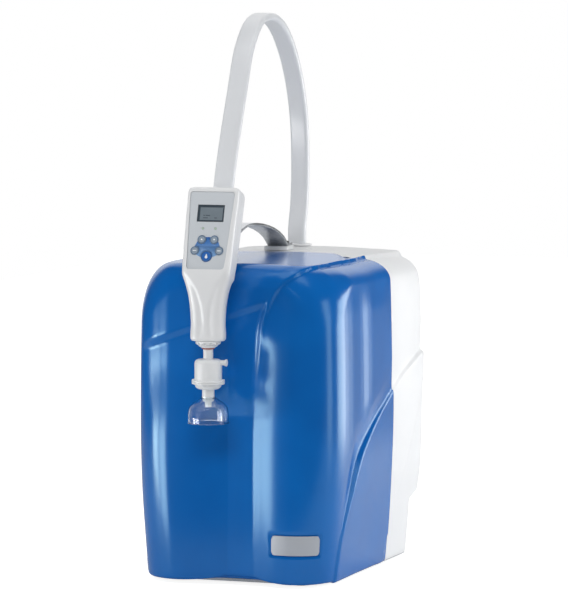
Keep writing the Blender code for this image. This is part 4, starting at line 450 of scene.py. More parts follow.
# Each finish is named for its real material, with the look that this gives.
FINISHES = (
    # Tinted polycarbonate with a fine satin grain: deep blue body, soft cyan bands of light
    Finish("tinted_satin_polycarbonate", "#0054A4", "#0072CC", 0.20, 0.02, 0.0, 170.0, 0.9, 0.010,
           extras=(("IOR", 1.62), ("Specular Tint", (0.60, 0.95, 1.0, 1.0)))),
    # Injection-moulded ABS with a fine spark texture: even satin white
    Finish("moulded_white_abs", "#F0F1F2", "#ECEEF0", 0.42, extras=(("IOR", 1.53),)),
    # Smoother ABS of the hand-held shells: white with a soft gloss
    Finish("smooth_white_abs", "#F1F2F3", "#EDEFF1", 0.30, 0.03, bump_mm=0.01,
           extras=(("Coat Weight", 0.15), ("Coat Roughness", 0.20))),
    # Natural polypropylene of the fittings: milky white, with light that sinks in a little
    Finish("natural_polypropylene", "#F3F4F5", "#EAEDEF", 0.34, drift_mm=12.0,
           extras=(("Subsurface Weight", 0.20), ("Subsurface Radius", (0.003, 0.003, 0.003)))),
    # Printed polyester foil over the keypad: silver grey and matt
    Finish("printed_polyester_foil", "#D4D9DE", "#CDD3D9", 0.55, 0.06, 0.0, 30.0, 0.35, 0.01),
    # Silicone keys under the foil: matt blue grey
    Finish("grey_silicone", "#9AA9B8", "#8F9FB0", 0.48, drift_mm=6.0),
    # Printed blue: matt, pale below and deeper at the top
    Finish("blue_print", "#8DB8E2", "#2E6DBB", 0.45, rise=(0.458, 0.490)),
    # Darker blue ring round each key, which paints the shade at its edge: flat and matt
    Finish("painted_key_shade_ring", "#4A688A", "#557496", 0.45, drift_mm=5.0),
    # Anodised badge plate: silver grey with a soft sheen
    Finish("anodised_plate", "#C3C7CD", "#B9BEC5", 0.38, 0.05, 0.3, 25.0, 0.5, 0.006),
    # Blue silicone of the dispensing key: deep blue with a soft gloss
    Finish("blue_silicone", "#1E62B8", "#2B70C4", 0.38, drift_mm=6.0,
           extras=(("Coat Weight", 0.3), ("Coat Roughness", 0.2))),
    # White print on keys: matt
    Finish("white_print", "#F4F7FA", "#EDF2F7", 0.5, drift_mm=5.0),
    # Liquid crystal display: flat blue grey
    Finish("display_glass", "#76828B", "#828E97", 0.22, drift_mm=12.0,
           extras=(("Coat Weight", 0.5), ("Coat Roughness", 0.05))),
    # Dark mask printed round the display
    Finish("display_mask", "#3B4650", "#46515B", 0.30, drift_mm=8.0),
    # Light pipe: pale green and glossy
    Finish("light_pipe", "#BFD8C2", "#CFE2D0", 0.25, drift_mm=3.0),
    # Thermoplastic hose: milky, half clear, with a soft gloss
    Finish("milky_hose", "#EAECEF", "#E4E7EB", 0.32, drift_mm=70.0, bump_mm=0.002,
           extras=(("Subsurface Weight", 0.35), ("Subsurface Radius", (0.006, 0.006, 0.006)),
                   ("Coat Weight", 0.2), ("Coat Roughness", 0.25))),
    # Satin chromed steel strip: bright but soft reflections along its polishing lines
    Finish("chromed_steel", "#D3D6DA", "#CACED3", 0.27, 0.03, 1.0, 60.0, 0.5, 0.004,
           Grain.BRUSHED_ACROSS),
    # Moulded clear polycarbonate of the bell: see-through with bright edges
    Finish("clear_polycarbonate", "#F4F8FA", "#F0F5F8", 0.04, 0.01, bump_mm=0.002,
           extras=(("Transmission Weight", 1.0), ("IOR", 1.49))),
    # Red silicone seal: matt
    Finish("red_silicone", "#B5442F", "#A83A27", 0.55, drift_mm=5.0),
    # Black rubber: dull with a coarse grain
    Finish("black_rubber", "#1B1B1C", "#242425", 0.75, drift_mm=10.0, bump_mm=0.05),
    # Glass-filled nylon: black with a slight sheen
    Finish("black_nylon", "#17181A", "#202124", 0.42, drift_mm=9.0, bump_mm=0.03),
    # Brushed stainless sheet: grey metal with upright brush lines
    Finish("brushed_stainless", "#B9BBBD", "#A9ACAF", 0.32, 0.08, 1.0, 35.0, 0.6, 0.02,
           Grain.BRUSHED_UP),
    # Powder-coated panel: light grey with a fine orange peel
    Finish("powder_coated_grey", "#D5D8DB", "#CDD1D5", 0.48, 0.06, grain_mm=1.4, bump_mm=0.05),
    # Acetal of the hose tails: deep blue and waxy
    Finish("blue_acetal", "#27357A", "#2D3D88", 0.36, drift_mm=8.0),
    # Blow-moulded cartridges: white with slow waviness
    Finish("moulded_cartridge", "#DCE1E6", "#D2D9E0", 0.40, drift_mm=30.0, grain_mm=3.0, bump_mm=0.1),
    # Blue polypropylene caps of the cartridges: even, with a satin sheen
    Finish("blue_polypropylene", "#2456B4", "#2E62BE", 0.38, drift_mm=12.0),
    # Grey structural plastic: matt
    Finish("grey_polyamide", "#8B9095", "#7F858B", 0.50, drift_mm=14.0),
    # Fluoropolymer tube: pale, glossy and half clear
    Finish("clear_tube", "#DDE4EA", "#E5EAEE", 0.20, drift_mm=10.0,
           extras=(("Subsurface Weight", 0.2),)),
    # Filter membrane: matt, fibrous
    Finish("filter_fleece", "#EFEFE8", "#E4E4DA", 0.85, grain_mm=0.4, bump_mm=0.08),
    # Solder mask over copper: green with a fine pattern
    Finish("solder_mask", "#1F6B45", "#2A7D52", 0.38, drift_mm=5.0, grain_mm=1.0, bump_mm=0.06),
    # Shadow in a moulded slot: nearly black blue
    Finish("shadowed_slot", "#0C1A38", "#101F40", 0.6, drift_mm=5.0),
)


@cache
def material(name: str) -> bpy.types.Material:
    """Return a finish's material, built on first use."""
    return next(finish for finish in FINISHES if finish.name == name).build()


def hermite(start: Vector | np.ndarray, end: Vector | np.ndarray, leave: Vector | np.ndarray,
            arrive: Vector | np.ndarray, run: float, t: float) -> Vector | np.ndarray:
    """Return the place at share t of a smooth stretch between points with given slopes."""
    return (start * (2 * t ** 3 - 3 * t ** 2 + 1) + end * (3 * t ** 2 - 2 * t ** 3)
            + leave * (run * (t ** 3 - 2 * t ** 2 + t)) + arrive * (run * (t ** 3 - t ** 2)))


def mm_curve(*points: tuple[float, float]) -> np.ndarray:
    """Turn points in millimetres into a finely sampled smooth curve in metres.

    Args:
        points: Places that the curve passes through.

    Returns:
        The curve's points.
    """
    corners = np.array(points, float) / 1000.0
    padded = np.vstack([2 * corners[0] - corners[1], corners, 2 * corners[-1] - corners[-2]])
    rows = []
    for before, start, end, after in zip(padded, padded[1:], padded[2:], padded[3:]):
        rows += [hermite(start, end, (end - before) / 2.0, (after - start) / 2.0, 1.0, step / 5.0)
                 for step in range(5)]
    return np.array([*rows, corners[-1]])


def distance_to(curve: np.ndarray, q: np.ndarray, t: np.ndarray) -> tuple[np.ndarray, ...]:
    """Measure how far places lie from a curve, and on which side.

    Args:
        curve: Points of the curve, in order.
        q: First coordinates of the places.
        t: Second coordinates of the places.

    Returns:
        The distances, positive on the curve's left, and the nearest points' two coordinates.
    """
    best = np.full(q.shape, np.inf)
    signed = np.zeros(q.shape)
    near_q = np.zeros(q.shape)
    near_t = np.zeros(q.shape)
    for start, end in zip(curve, curve[1:]):
        run = end - start
        share = np.clip(((q - start[0]) * run[0] + (t - start[1]) * run[1]) / (run @ run), 0.0, 1.0)
        foot_q = start[0] + share * run[0]
        foot_t = start[1] + share * run[1]
        away = np.hypot(q - foot_q, t - foot_t)
        closer = away < best
        side = np.sign(run[0] * (t - start[1]) - run[1] * (q - start[0]))
        best = np.where(closer, away, best)
        signed = np.where(closer, away * side, signed)
        near_q = np.where(closer, foot_q, near_q)
        near_t = np.where(closer, foot_t, near_t)
    return signed, near_q, near_t


@dataclass
class Relief:
    """The sculpted relief, on coordinates unrolled round and up the cabinet.

    The first coordinate runs round from the middle of the front, positive to the
    right, and the second up the wall and on over the top.
    """

    swoosh: np.ndarray = field(default_factory=lambda: mm_curve(
        (38, -40), (38, 14), (37, 68), (37, 124), (37, 179), (38, 235), (41, 291), (46, 340),
        (51, 368), (60, 396), (72, 418), (88, 436), (112, 452), (148, 464), (190, 471),
        (230, 475), (280, 475), (330, 471), (391, 474), (444, 468), (510, 463), (600, 460)))
    ledge: np.ndarray = field(default_factory=lambda: mm_curve(
        (170, -40), (172, 8), (176, 45), (183, 70), (197, 100), (214, 131), (227, 156), (248, 182),
        (287, 207), (327, 228), (372, 248), (403, 262), (432, 276), (469, 290), (500, 300),
        (522, 303), (545, 294), (562, 270), (574, 235), (580, 190), (582, 120), (582, -20)))
    ledge_rise: Table = (
        (165, 1.5), (183, 3.0), (214, 5.5), (240, 7.0), (265, 6.5), (300, 5.0), (345, 3.6),
        (395, 3.0), (450, 3.6), (500, 5.0), (535, 5.0), (560, 3.0), (574, 1.4), (582, 0.8))
    rear_swell: float = 0.0035
    fold: Table = (
        (165, 0.0), (180, 0.2), (198, 1.2), (214, 1.8), (222, 1.8), (238, 1.1), (250, 0.9),
        (262, 1.3), (280, 2.6), (292, 3.2), (300, 3.3), (340, 2.0), (391, 0.0))
    step_height: float = 0.0055
    channel_depth: float = 0.009
    crease: float = -0.005
    crease_reach: float = 0.078
    ridge: float = 0.0007
    bank: float = 0.060

    def offset(self, q: np.ndarray, t: np.ndarray) -> np.ndarray:
        """Return how far the surface stands out at each place.

        Args:
            q: Places round the cabinet.
            t: Places up the wall.

        Returns:
            Distances outwards.
        """
        rear = smooth((np.abs(q) - 0.400) / 0.090) * smooth((0.590 - np.abs(q)) / 0.050)
        rear = rear * smooth((t - 0.080) / 0.060) * smooth((0.470 - t) / 0.090)
        return self.swoosh_offset(q, t) + self.ledge_offset(np.abs(q), t) + self.rear_swell * rear

    def swoosh_offset(self, q: np.ndarray, t: np.ndarray) -> np.ndarray:
        """Return the sweeping line, the channel and the brow.

        Args:
            q: Places round the cabinet.
            t: Places up the wall.

        Returns:
            Distances outwards.
        """
        away, near_q, near_t = distance_to(self.swoosh, q, t)
        outside = np.maximum(-away, 0.0)
        upper = smooth((near_t - 0.345) / 0.060)
        lower = 1.0 - smooth((near_t - 0.315) / 0.060)
        width = 0.0035 + 0.006 * smooth((near_q - 0.400) / 0.080)
        step = -self.step_height * upper * smooth(outside / width)
        step = step * (1.0 - smooth((outside - 0.008) / 0.060))
        ridge = self.ridge * lower * np.where(away < 0.0, 1.0 - smooth(outside / 0.008),
                                              1.0 - smooth(away / 0.004))
        depth = self.channel_depth * smooth((0.352 - t) / 0.150)
        bank_depth = self.channel_depth * smooth((0.398 - t) / 0.090)
        line = float(np.interp(0.15, self.swoosh[:, 1], self.swoosh[:, 0]))
        slope = np.clip((line - q) / (line - self.crease), 0.0, 1.0)
        bank = np.clip(1.0 - outside / self.bank, 0.0, 1.0) ** 2.6
        left = np.clip((self.crease - q) / self.crease_reach, 0.0, 1.0)
        sharp = smooth((0.300 - t) / 0.090)
        lobe = sharp * (1.0 - left) ** 2 + (1.0 - sharp) * (1.0 - smooth(left))
        floor = depth + (bank_depth - depth) * smooth(1.0 - slope)
        channel = np.where(q > self.crease, -floor * (0.95 + 0.05 * slope), -depth * lobe)
        channel = np.where(away > 0.0, channel, -0.95 * bank_depth * bank)
        brow_t = 0.346 + (q + 0.115) * 0.34
        brow = -0.0050 * smooth((brow_t - t) / 0.015) * (1.0 - smooth((brow_t - t - 0.040) / 0.110))
        front = smooth((q + 0.150) / 0.040) * smooth(away / 0.010)
        return step + ridge + channel + brow * front

    def ledge_offset(self, q: np.ndarray, t: np.ndarray) -> np.ndarray:
        """Return the ledge that climbs the side, and the soft upright fold above it.

        Args:
            q: Places round the cabinet, without their sign.
            t: Places up the wall.

        Returns:
            Distances outwards.
        """
        away, near_q, _ = distance_to(self.ledge, q, t)
        rise = np.interp(near_q, *np.transpose(self.ledge_rise) / 1000.0)
        below = np.maximum(-away, 0.0)
        proud = rise * smooth(below / (0.0012 + 0.7 * rise)) * (1.0 - 0.45 * smooth(below / 0.130))
        hollow = -0.35 * rise * (1.0 - smooth(away / 0.045)) * (away > 0.0)
        fold = np.interp(q, *np.transpose(self.fold) / 1000.0)
        fold = fold * smooth(away / 0.030) * smooth((0.425 - t) / 0.050)
        return proud + hollow - 0.30 * rise * (away <= 0.0) + fold


@dataclass
class ShellForm:
    """One of the cabinet's two shells, as rows and columns of points."""

    seam: float
    corner_radius: float
    low_face: float
    high_face: float
    front: float = -0.179
    width: float = 0.302
    height: float = 0.450
    waist: float = 0.225
    bottom_tuck: float = 0.011
    skirt_radius: float = 0.005
    shoulder_tuck: float = 0.003
    top_radius: float = 0.037
    crown: float = 0.005
    skirt: float = 0.006
    bay_low: float = 0.084
    bay_high: float = 0.098
    front_radius: float = 0.062
    spacing: float = 0.0024
    pillow_place: float = 0.150
    pillow_reach: float = 0.080
    pillow_drop: float = 0.052
    pillow_inset: float = 0.008

    def half_width(self, z: float) -> float:
        """Return the cabinet's half width at a height.

        Args:
            z: The height.

        Returns:
            The half width.
        """
        if z < self.waist:
            share = (self.waist - z) / (self.waist - self.skirt)
            return self.width / 2.0 - self.bottom_tuck * share ** 2
        share = min((z - self.waist) / (self.height - self.top_radius - self.waist), 1.0)
        return self.width / 2.0 - self.shoulder_tuck * share ** 2

    def face(self, z: float) -> float:
        """Return the place of the front or rear face at a height."""
        share = (z - self.bay_low) / (self.bay_high - self.bay_low)
        return self.low_face + (self.high_face - self.low_face) * float(smooth(share))

    def inset(self, q: float, z: float) -> float:
        """Return how far the wall has rounded in at a place, more so over a front corner.

        Args:
            q: The place round the cabinet.
            z: The height.

        Returns:
            The distance inwards.
        """
        weight = float(smooth(1.0 - abs(q - self.pillow_place) / self.pillow_reach))
        reach = self.top_radius + self.pillow_drop * weight
        depth = self.top_radius + self.pillow_inset * weight
        share = min(max((z - self.height + reach) / reach, 0.0), 1.0)
        low = min(max(1.0 - (z - self.skirt) / self.skirt_radius, 0.0), 1.0)
        return (depth * (1.0 - math.sqrt(1.0 - share * share))
                + self.skirt_radius * 0.8 * (1.0 - math.sqrt(1.0 - low * low)))

    def columns(self) -> list[tuple[str, float]]:
        """Return the right half's columns, from the seam to the middle of the face."""
        side = max(int(abs(self.high_face - self.seam) / self.spacing * 0.8), 12)
        arc = max(int(self.corner_radius * QUARTER / self.spacing), 12)
        across = int((self.width / 2.0 - self.corner_radius) / self.spacing)
        kinds = [("side", step / side) for step in range(side)]
        kinds += [("arc", step / arc) for step in range(arc)]
        kinds += [("face", step / across) for step in range(across + 1)]
        return kinds

    def rows(self) -> list[tuple[float, float, float, float]]:
        """Return each row's height, crown weight, inward share and unrolled height."""
        shoulder = self.height - self.top_radius
        start = self.skirt + self.skirt_radius
        count = int((shoulder - self.skirt) / self.spacing)
        heights = [self.skirt + self.skirt_radius * share
                   for share in (0.0, 0.06, 0.16, 0.30, 0.48, 0.72)]
        heights += [start + (shoulder - start) * step / count for step in range(count)]
        result = [(z, 0.0, 0.0, z) for z in heights]
        arcs = int(self.top_radius * QUARTER / self.spacing)
        for step in range(arcs + 1):
            angle = QUARTER * step / arcs
            result.append((shoulder + self.top_radius * math.sin(angle), math.sin(angle), 0.0,
                           shoulder + self.top_radius * angle))
        rim = shoulder + self.top_radius * QUARTER
        shares = (0.012, 0.025, 0.04, 0.055, 0.07, 0.09, 0.11, 0.14, 0.18, 0.23, 0.29, 0.36, 0.44,
                  0.53, 0.62, 0.72, 0.82, 0.92)
        return result + [(self.height, 1.0, share, rim) for share in shares]

    def grid(self) -> tuple[np.ndarray, np.ndarray, np.ndarray]:
        """Return the base points and the unrolled coordinates of every place.

        Returns:
            Points by row and column, coordinates round, and coordinates up.
        """
        direction = 1.0 if self.high_face > self.seam else -1.0
        kinds = self.columns()
        wall_q = self.width / 2.0 - self.front_radius + self.front_radius * QUARTER
        front_corner = self.front + self.front_radius
        points, around, up = [], [], []
        for z, weight, share, t in self.rows():
            full_half = self.half_width(min(z, self.height - self.top_radius))
            full_face = self.face(z)
            full_x = full_half - self.corner_radius
            full_y = full_face - direction * self.corner_radius
            start = wall_q + full_y - front_corner
            turn = self.corner_radius * QUARTER
            line, round_line, up_line = [], [], []
            for kind, part in kinds:
                if kind == "side":
                    q = wall_q + self.seam + (full_y - self.seam) * part - front_corner
                elif kind == "arc":
                    q = full_x + (wall_q - full_x) * (1.0 - part) if direction < 0.0 else (
                        start + turn * part)
                else:
                    q = full_x * (1.0 - part) if direction < 0.0 else (
                        start + turn + full_x * part)
                inset = self.inset(q, z)
                half, face = full_half - inset, full_face - direction * inset
                radius = max(self.corner_radius - inset, self.corner_radius / 4.0)
                corner_x, corner_y = half - radius, face - direction * radius
                if kind == "side":
                    x, y = half, self.seam + (corner_y - self.seam) * part
                elif kind == "arc":
                    angle = QUARTER * part
                    x = corner_x + radius * math.cos(angle)
                    y = corner_y + direction * radius * math.sin(angle)
                else:
                    x, y = corner_x * (1.0 - part), face
                reach = math.hypot(x, y - self.seam)
                x, y = x * (1.0 - share), y + (self.seam - y) * share
                fall = self.crown * (2.0 * x / self.width) ** 2 * weight
                line.append((x, y, z - fall))
                round_line.append(q)
                up_line.append(t + reach * share)
            points.append(line + [(-x, y, z) for x, y, z in line[-2::-1]])
            around.append(round_line + [-q for q in round_line[-2::-1]])
            up.append(up_line + up_line[-2::-1])
        return np.array(points), np.array(around), np.array(up)

    @staticmethod
    def normals(points: np.ndarray, inward: np.ndarray) -> np.ndarray:
        """Return unit normals of a grid of points, facing away from a place.

        Args:
            points: The grid.
            inward: A place well inside the shell.

        Returns:
            One normal for each point.
        """
        across = np.gradient(points, axis=1)
        along = np.gradient(points, axis=0)
        normal = np.cross(across, along)
        normal = normal / np.maximum(np.linalg.norm(normal, axis=2, keepdims=True), 1e-12)
        facing = np.sum(normal * (points - inward), axis=2, keepdims=True)
        return normal * np.where(facing < 0.0, -1.0, 1.0)


@dataclass
class Cabinet:
    """The blue cover and the white housing with their badge, slots and feet."""

    relief: Relief = field(default_factory=Relief)
    seam: float = 0.088
    rear: float = 0.24985
    bay: float = 0.21785
    wall: float = 0.003
    inner_step: int = 4
    badge_start: float = 0.0632
    badge_length: float = 0.0726
    badge_low: float = 0.0475
    badge_height: float = 0.0275
    badge_thickness: float = 0.0016
    badge_corner: float = 0.0045
    badge_edge: float = 0.0005
    badge_seat: float = -0.0006
    recess_margin: float = 0.0022
    recess_depth: float = 0.0021
    recess_edge: float = 0.0018
    slot_heights: tuple[float, float] = (0.350, 0.329)
    slot_places: tuple[float, float] = (0.062, 0.073)
    bay_window: tuple[float, float] = (0.180, 0.062)
    vent_count: int = 9
    vent_size: tuple[float, float] = (0.110, 0.004)
    vent_pitch: float = 0.011
    vent_low: float = 0.215

    def build(self) -> None:
        """Make both shells and what sits on them."""
        self.build_cover()
        self.build_badge()
        self.build_slots()
        self.build_housing()
        self.build_feet()

    def cover_form(self) -> ShellForm:
        """Return the cover's form."""
        return ShellForm(self.seam - CLEARANCE / 2.0, 0.062, -0.179, -0.179)

    def housing_form(self) -> ShellForm:
        """Return the housing's form."""
        return ShellForm(self.seam + CLEARANCE / 2.0, 0.045, self.bay, self.rear, spacing=0.0028)

    def shell(self, form: ShellForm) -> Shape:
        """Return one shell with its relief outside and a coarser wall inside.

        Args:
            form: The shell's form.

        Returns:
            The closed shell.
        """
        base, around, up = form.grid()
        middle = np.array((0.0, form.seam, 0.2))
        normals = form.normals(base, middle)
        swell = self.relief.offset(around, up)
        swell = swell - self.badge_recess(around, up) * (form.high_face < form.seam)
        outer = base + normals * swell[..., None]
        outer[:, 0, 1] = form.seam
        outer[:, -1, 1] = form.seam
        row_count, column_count = outer.shape[:2]
        row_ids = list(range(0, row_count - 1, self.inner_step)) + [row_count - 1]
        column_ids = list(range(0, column_count - 1, self.inner_step)) + [column_count - 1]
        inner = (outer - form.normals(outer, middle) * self.wall)[np.ix_(row_ids, column_ids)]
        inner[0, :, 2] = outer[0][column_ids][:, 2]
        inner[:, 0, 1] = form.seam
        inner[:, -1, 1] = form.seam
        top = outer[-1, 0, 2] + form.crown * (outer[-1, 0, 0] * 2.0 / form.width) ** 2
        tips = np.array([(0.0, form.seam, top), (0.0, form.seam, top - self.wall)])
        points = np.vstack([outer.reshape(-1, 3), inner.reshape(-1, 3), tips])
        first, width = row_count * column_count, len(column_ids)
        outer_tip, inner_tip = len(points) - 2, len(points) - 1
        top_row, last_row = first - column_count, len(points) - 2 - width
        faces = skin(row_count, column_count) + skin(len(row_ids), width, first, True)
        for at in range(top_row, first - 1):
            faces.append((at, at + 1, outer_tip))
        for column in range(width - 1):
            faces.append((last_row + column, inner_tip, last_row + column + 1))
            rim = range(column_ids[column + 1], column_ids[column] - 1, -1)
            faces.append((*rim, first + column, first + column + 1))
        for side, column in ((0, 0), (column_count - 1, width - 1)):
            strips = [(top_row + side, outer_tip, inner_tip, last_row + column)]
            for row, (start, end) in enumerate(zip(row_ids, row_ids[1:])):
                rim = [at * column_count + side for at in range(start, end + 1)]
                inside = first + row * width + column
                strips.append((*rim, inside + width, inside))
            faces += strips if side == 0 else [strip[::-1] for strip in strips]
        if form.high_face > form.seam:
            faces = [face[::-1] for face in faces]
        return shape_of(points.tolist(), faces)

    def badge_recess(self, q: np.ndarray, t: np.ndarray) -> np.ndarray:
        """Return the shallow seat sunk round the badge.

        Args:
            q: Places round the cabinet.
            t: Places up the wall.

        Returns:
            Depths inwards.
        """
        half_length, half_height = self.badge_length / 2.0, self.badge_height / 2.0
        across = np.abs(q - self.badge_start - half_length) - half_length
        upward = np.abs(t - self.badge_low - half_height) - half_height
        reach = np.maximum(across, upward) - self.recess_margin
        return self.recess_depth * smooth(0.5 - reach / self.recess_edge)

    def surface(self, q: float, z: float, out: float) -> Vector:
        """Return a point over the cover's right front, standing out from its relief.

        Args:
            q: The place round the cabinet.
            z: The height.
            out: The distance out from the surface.

        Returns:
            The point.
        """
        form = self.cover_form()
        half = form.half_width(z)
        straight = half - form.corner_radius
        swell = float(self.relief.offset(np.array([q]), np.array([z]))[0]) + out
        if q <= straight:
            return Vector((q, form.front - swell, z))
        end = form.width / 2.0 - form.front_radius + form.front_radius * QUARTER
        angle = QUARTER * (q - straight) / (end - straight)
        radius = form.corner_radius + swell
        return Vector((straight + radius * math.sin(angle),
                       form.front + form.corner_radius - radius * math.cos(angle), z))

    def build_cover(self) -> None:
        """Make the sculpted cover."""
        make_piece("cover_shell", self.shell(self.cover_form()), Body.CABINET,
                   "tinted_satin_polycarbonate", ("front_cover",), math.radians(60.0), False)

    def build_badge(self) -> None:
        """Make the blank plate, bent round the corner with round corners."""
        steps = 40
        corner, soft, seat = self.badge_corner, self.badge_edge, self.badge_seat
        face = seat + self.badge_thickness
        rings = []
        for step in range(steps + 1):
            along = self.badge_length * step / steps
            edge = min(along, self.badge_length - along, corner)
            cut = corner - math.sqrt(max(corner ** 2 - (corner - edge) ** 2, 0.0))
            low = self.badge_low + cut
            high = self.badge_low + self.badge_height - cut
            places = ((low, seat), (low, face - soft), (low + soft, face), (high - soft, face),
                      (high, face - soft), (high, seat))
            rings.append([self.surface(self.badge_start + along, z, out) for z, out in places])
        make_piece("badge_blank", lofted(rings), Body.CABINET, "anodised_plate",
                   ("badge_plate",))

    def build_slots(self) -> None:
        """Make dark plates that paint the shade in two small pairs of slots near the seam, on both
        sides.
        """
        shape = Shape()
        form = self.cover_form()
        plate = slab(round_box(0.0065, 0.0024, 0.0011, 4), 0.0, 0.0014, 0.0003)
        for side in (-1.0, 1.0):
            turn = Matrix.Rotation(side * QUARTER, 4, "Y") @ Matrix.Rotation(QUARTER, 4, "Z")
            for z in self.slot_heights:
                for y in self.slot_places:
                    x = form.half_width(z) - 0.0011
                    shape.place(plate, Matrix.Translation((side * x, y, z)) @ turn)
        make_piece("cover_slots", shape, Body.CABINET, "shadowed_slot")

    def build_housing(self) -> None:
        """Make the white housing with its bay, vents and hose hole cut through."""
        angle = math.radians(40.0)
        piece = make_piece("housing_shell", self.shell(self.housing_form()), "",
                           "moulded_white_abs", (), angle, False)
        stand = Matrix.Rotation(QUARTER, 4, "X")
        window = slab(round_box(*self.bay_window, 0.004), 0.0, 0.045, 0.0002)
        cutters = window.moved(Matrix.Translation((0.0, 0.250, 0.047)) @ stand)
        collar = slab(round_box(0.0345, 0.0165, 0.0055), 0.0, 0.030, 0.0002)
        cutters.place(collar, Matrix.Translation((-0.0385, 0.2110, 0.430))
                      @ Matrix.Rotation(math.radians(-12.0), 4, "Z"))
        height = self.vent_size[1]
        vent = slab(round_box(*self.vent_size, height * 0.48, 6), -0.012, 0.012, 0.0002)
        cutters.place(repeated("vent_slots", vent.moved(stand), self.vent_count,
                               Vector((0.0, 0.2480, self.vent_low)),
                               Vector((0.0, 0.0, self.vent_pitch))), Matrix())
        subtract(piece, cutters)
        shade(piece, angle)
        settle(piece, Body.CABINET, ("rear_housing",))

    def build_feet(self) -> None:
        """Make the four rubber feet, softly rounded, with a sunk middle."""
        profile = rounded([(0.0, 0.0012), (0.0085, 0.0012), (0.0095, 0.0), (0.0150, 0.0),
                           (0.0160, 0.0059), (0.0050, 0.0059), (0.0050, 0.0102), (0.0, 0.0102)],
                          0.0008, closed=False)
        foot = turned(profile, 48)
        for name in ("front_left", "front_right", "rear_left", "rear_right"):
            make_piece("rubber_foot_" + name,
                       foot.moved(Matrix.Translation(middle_of("foot_" + name))), Body.CABINET,
                       "black_rubber", ("foot_" + name,))


def subtract(piece: bpy.types.Object, cutters: Shape) -> None:
    """Cut closed shapes out of a piece, and keep the result as its mesh.

    Args:
        piece: The object to cut.
        cutters: The closed shapes.
    """
    cutter = add_object("cutters", cutters.mesh("cutters"))
    outward(cutter)
    modifier = piece.modifiers.new("openings", "BOOLEAN")
    modifier.operation = "DIFFERENCE"
    modifier.solver = "EXACT"
    modifier.object = cutter
    result = finished_mesh(piece)
    piece.modifiers.clear()
    piece.data = result
    bpy.data.objects.remove(cutter, do_unlink=True)


def repeated(name: str, unit: Shape, count: int, start: Vector, offset: Vector,
             turn: float = 0.0) -> Shape:
    """Repeat a closed shape along a line or round Z with a Geometry Nodes tree.

    Args:
        name: The tree's name.
        unit: The shape to repeat.
        count: How many.
        start: How far the first is moved.
        offset: The step from each to the next.
        turn: The turn from each to the next.

    Returns:
        The repeated shapes.
    """
    carrier = add_object(name, unit.mesh(name))
    tree = bpy.data.node_groups.new(name, "GeometryNodeTree")
    sizes = {"Count": ("NodeSocketInt", count), "Start": ("NodeSocketVector", tuple(start)),
             "Offset": ("NodeSocketVector", tuple(offset)), "Turn": ("NodeSocketFloat", turn)}
    for side in ("INPUT", "OUTPUT"):
        tree.interface.new_socket("Geometry", in_out=side, socket_type="NodeSocketGeometry")
    for label, (kind, _) in sizes.items():
        tree.interface.new_socket(label, in_out="INPUT", socket_type=kind)
    given = add_node(tree, "NodeGroupInput").outputs
    line = add_node(tree, "GeometryNodeMeshLine", {"mode": "OFFSET"}, {
        "Count": given["Count"], "Start Location": given["Start"], "Offset": given["Offset"]})
    index = add_node(tree, "GeometryNodeInputIndex")
    angle = add_node(tree, "ShaderNodeMath", {"operation": "MULTIPLY"}, {
        0: index.outputs[0], 1: given["Turn"]})
    round_z = add_node(tree, "ShaderNodeCombineXYZ", {}, {"Z": angle.outputs[0]})
    spread = add_node(tree, "GeometryNodeInstanceOnPoints", {}, {
        "Points": line.outputs["Mesh"], "Instance": given["Geometry"],
        "Rotation": round_z.outputs[0]})
    real = add_node(tree, "GeometryNodeRealizeInstances", {}, {
        "Geometry": spread.outputs["Instances"]})
    dressed = add_node(tree, "GeometryNodeSetMaterial", {}, {"Geometry": real.outputs["Geometry"]})
    add_node(tree, "NodeGroupOutput", {}, {0: dressed.outputs["Geometry"]})
    modifier = carrier.modifiers.new(name, "NODES")
    modifier.node_group = tree
    for item in tree.interface.items_tree:
        if item.in_out == "INPUT" and item.name in sizes:
            modifier[item.identifier] = sizes[item.name][1]
    plain = finished_mesh(carrier)
    bpy.data.objects.remove(carrier, do_unlink=True)
    return shape_of([vertex.co for vertex in plain.vertices],
                    [tuple(polygon.vertices) for polygon in plain.polygons])


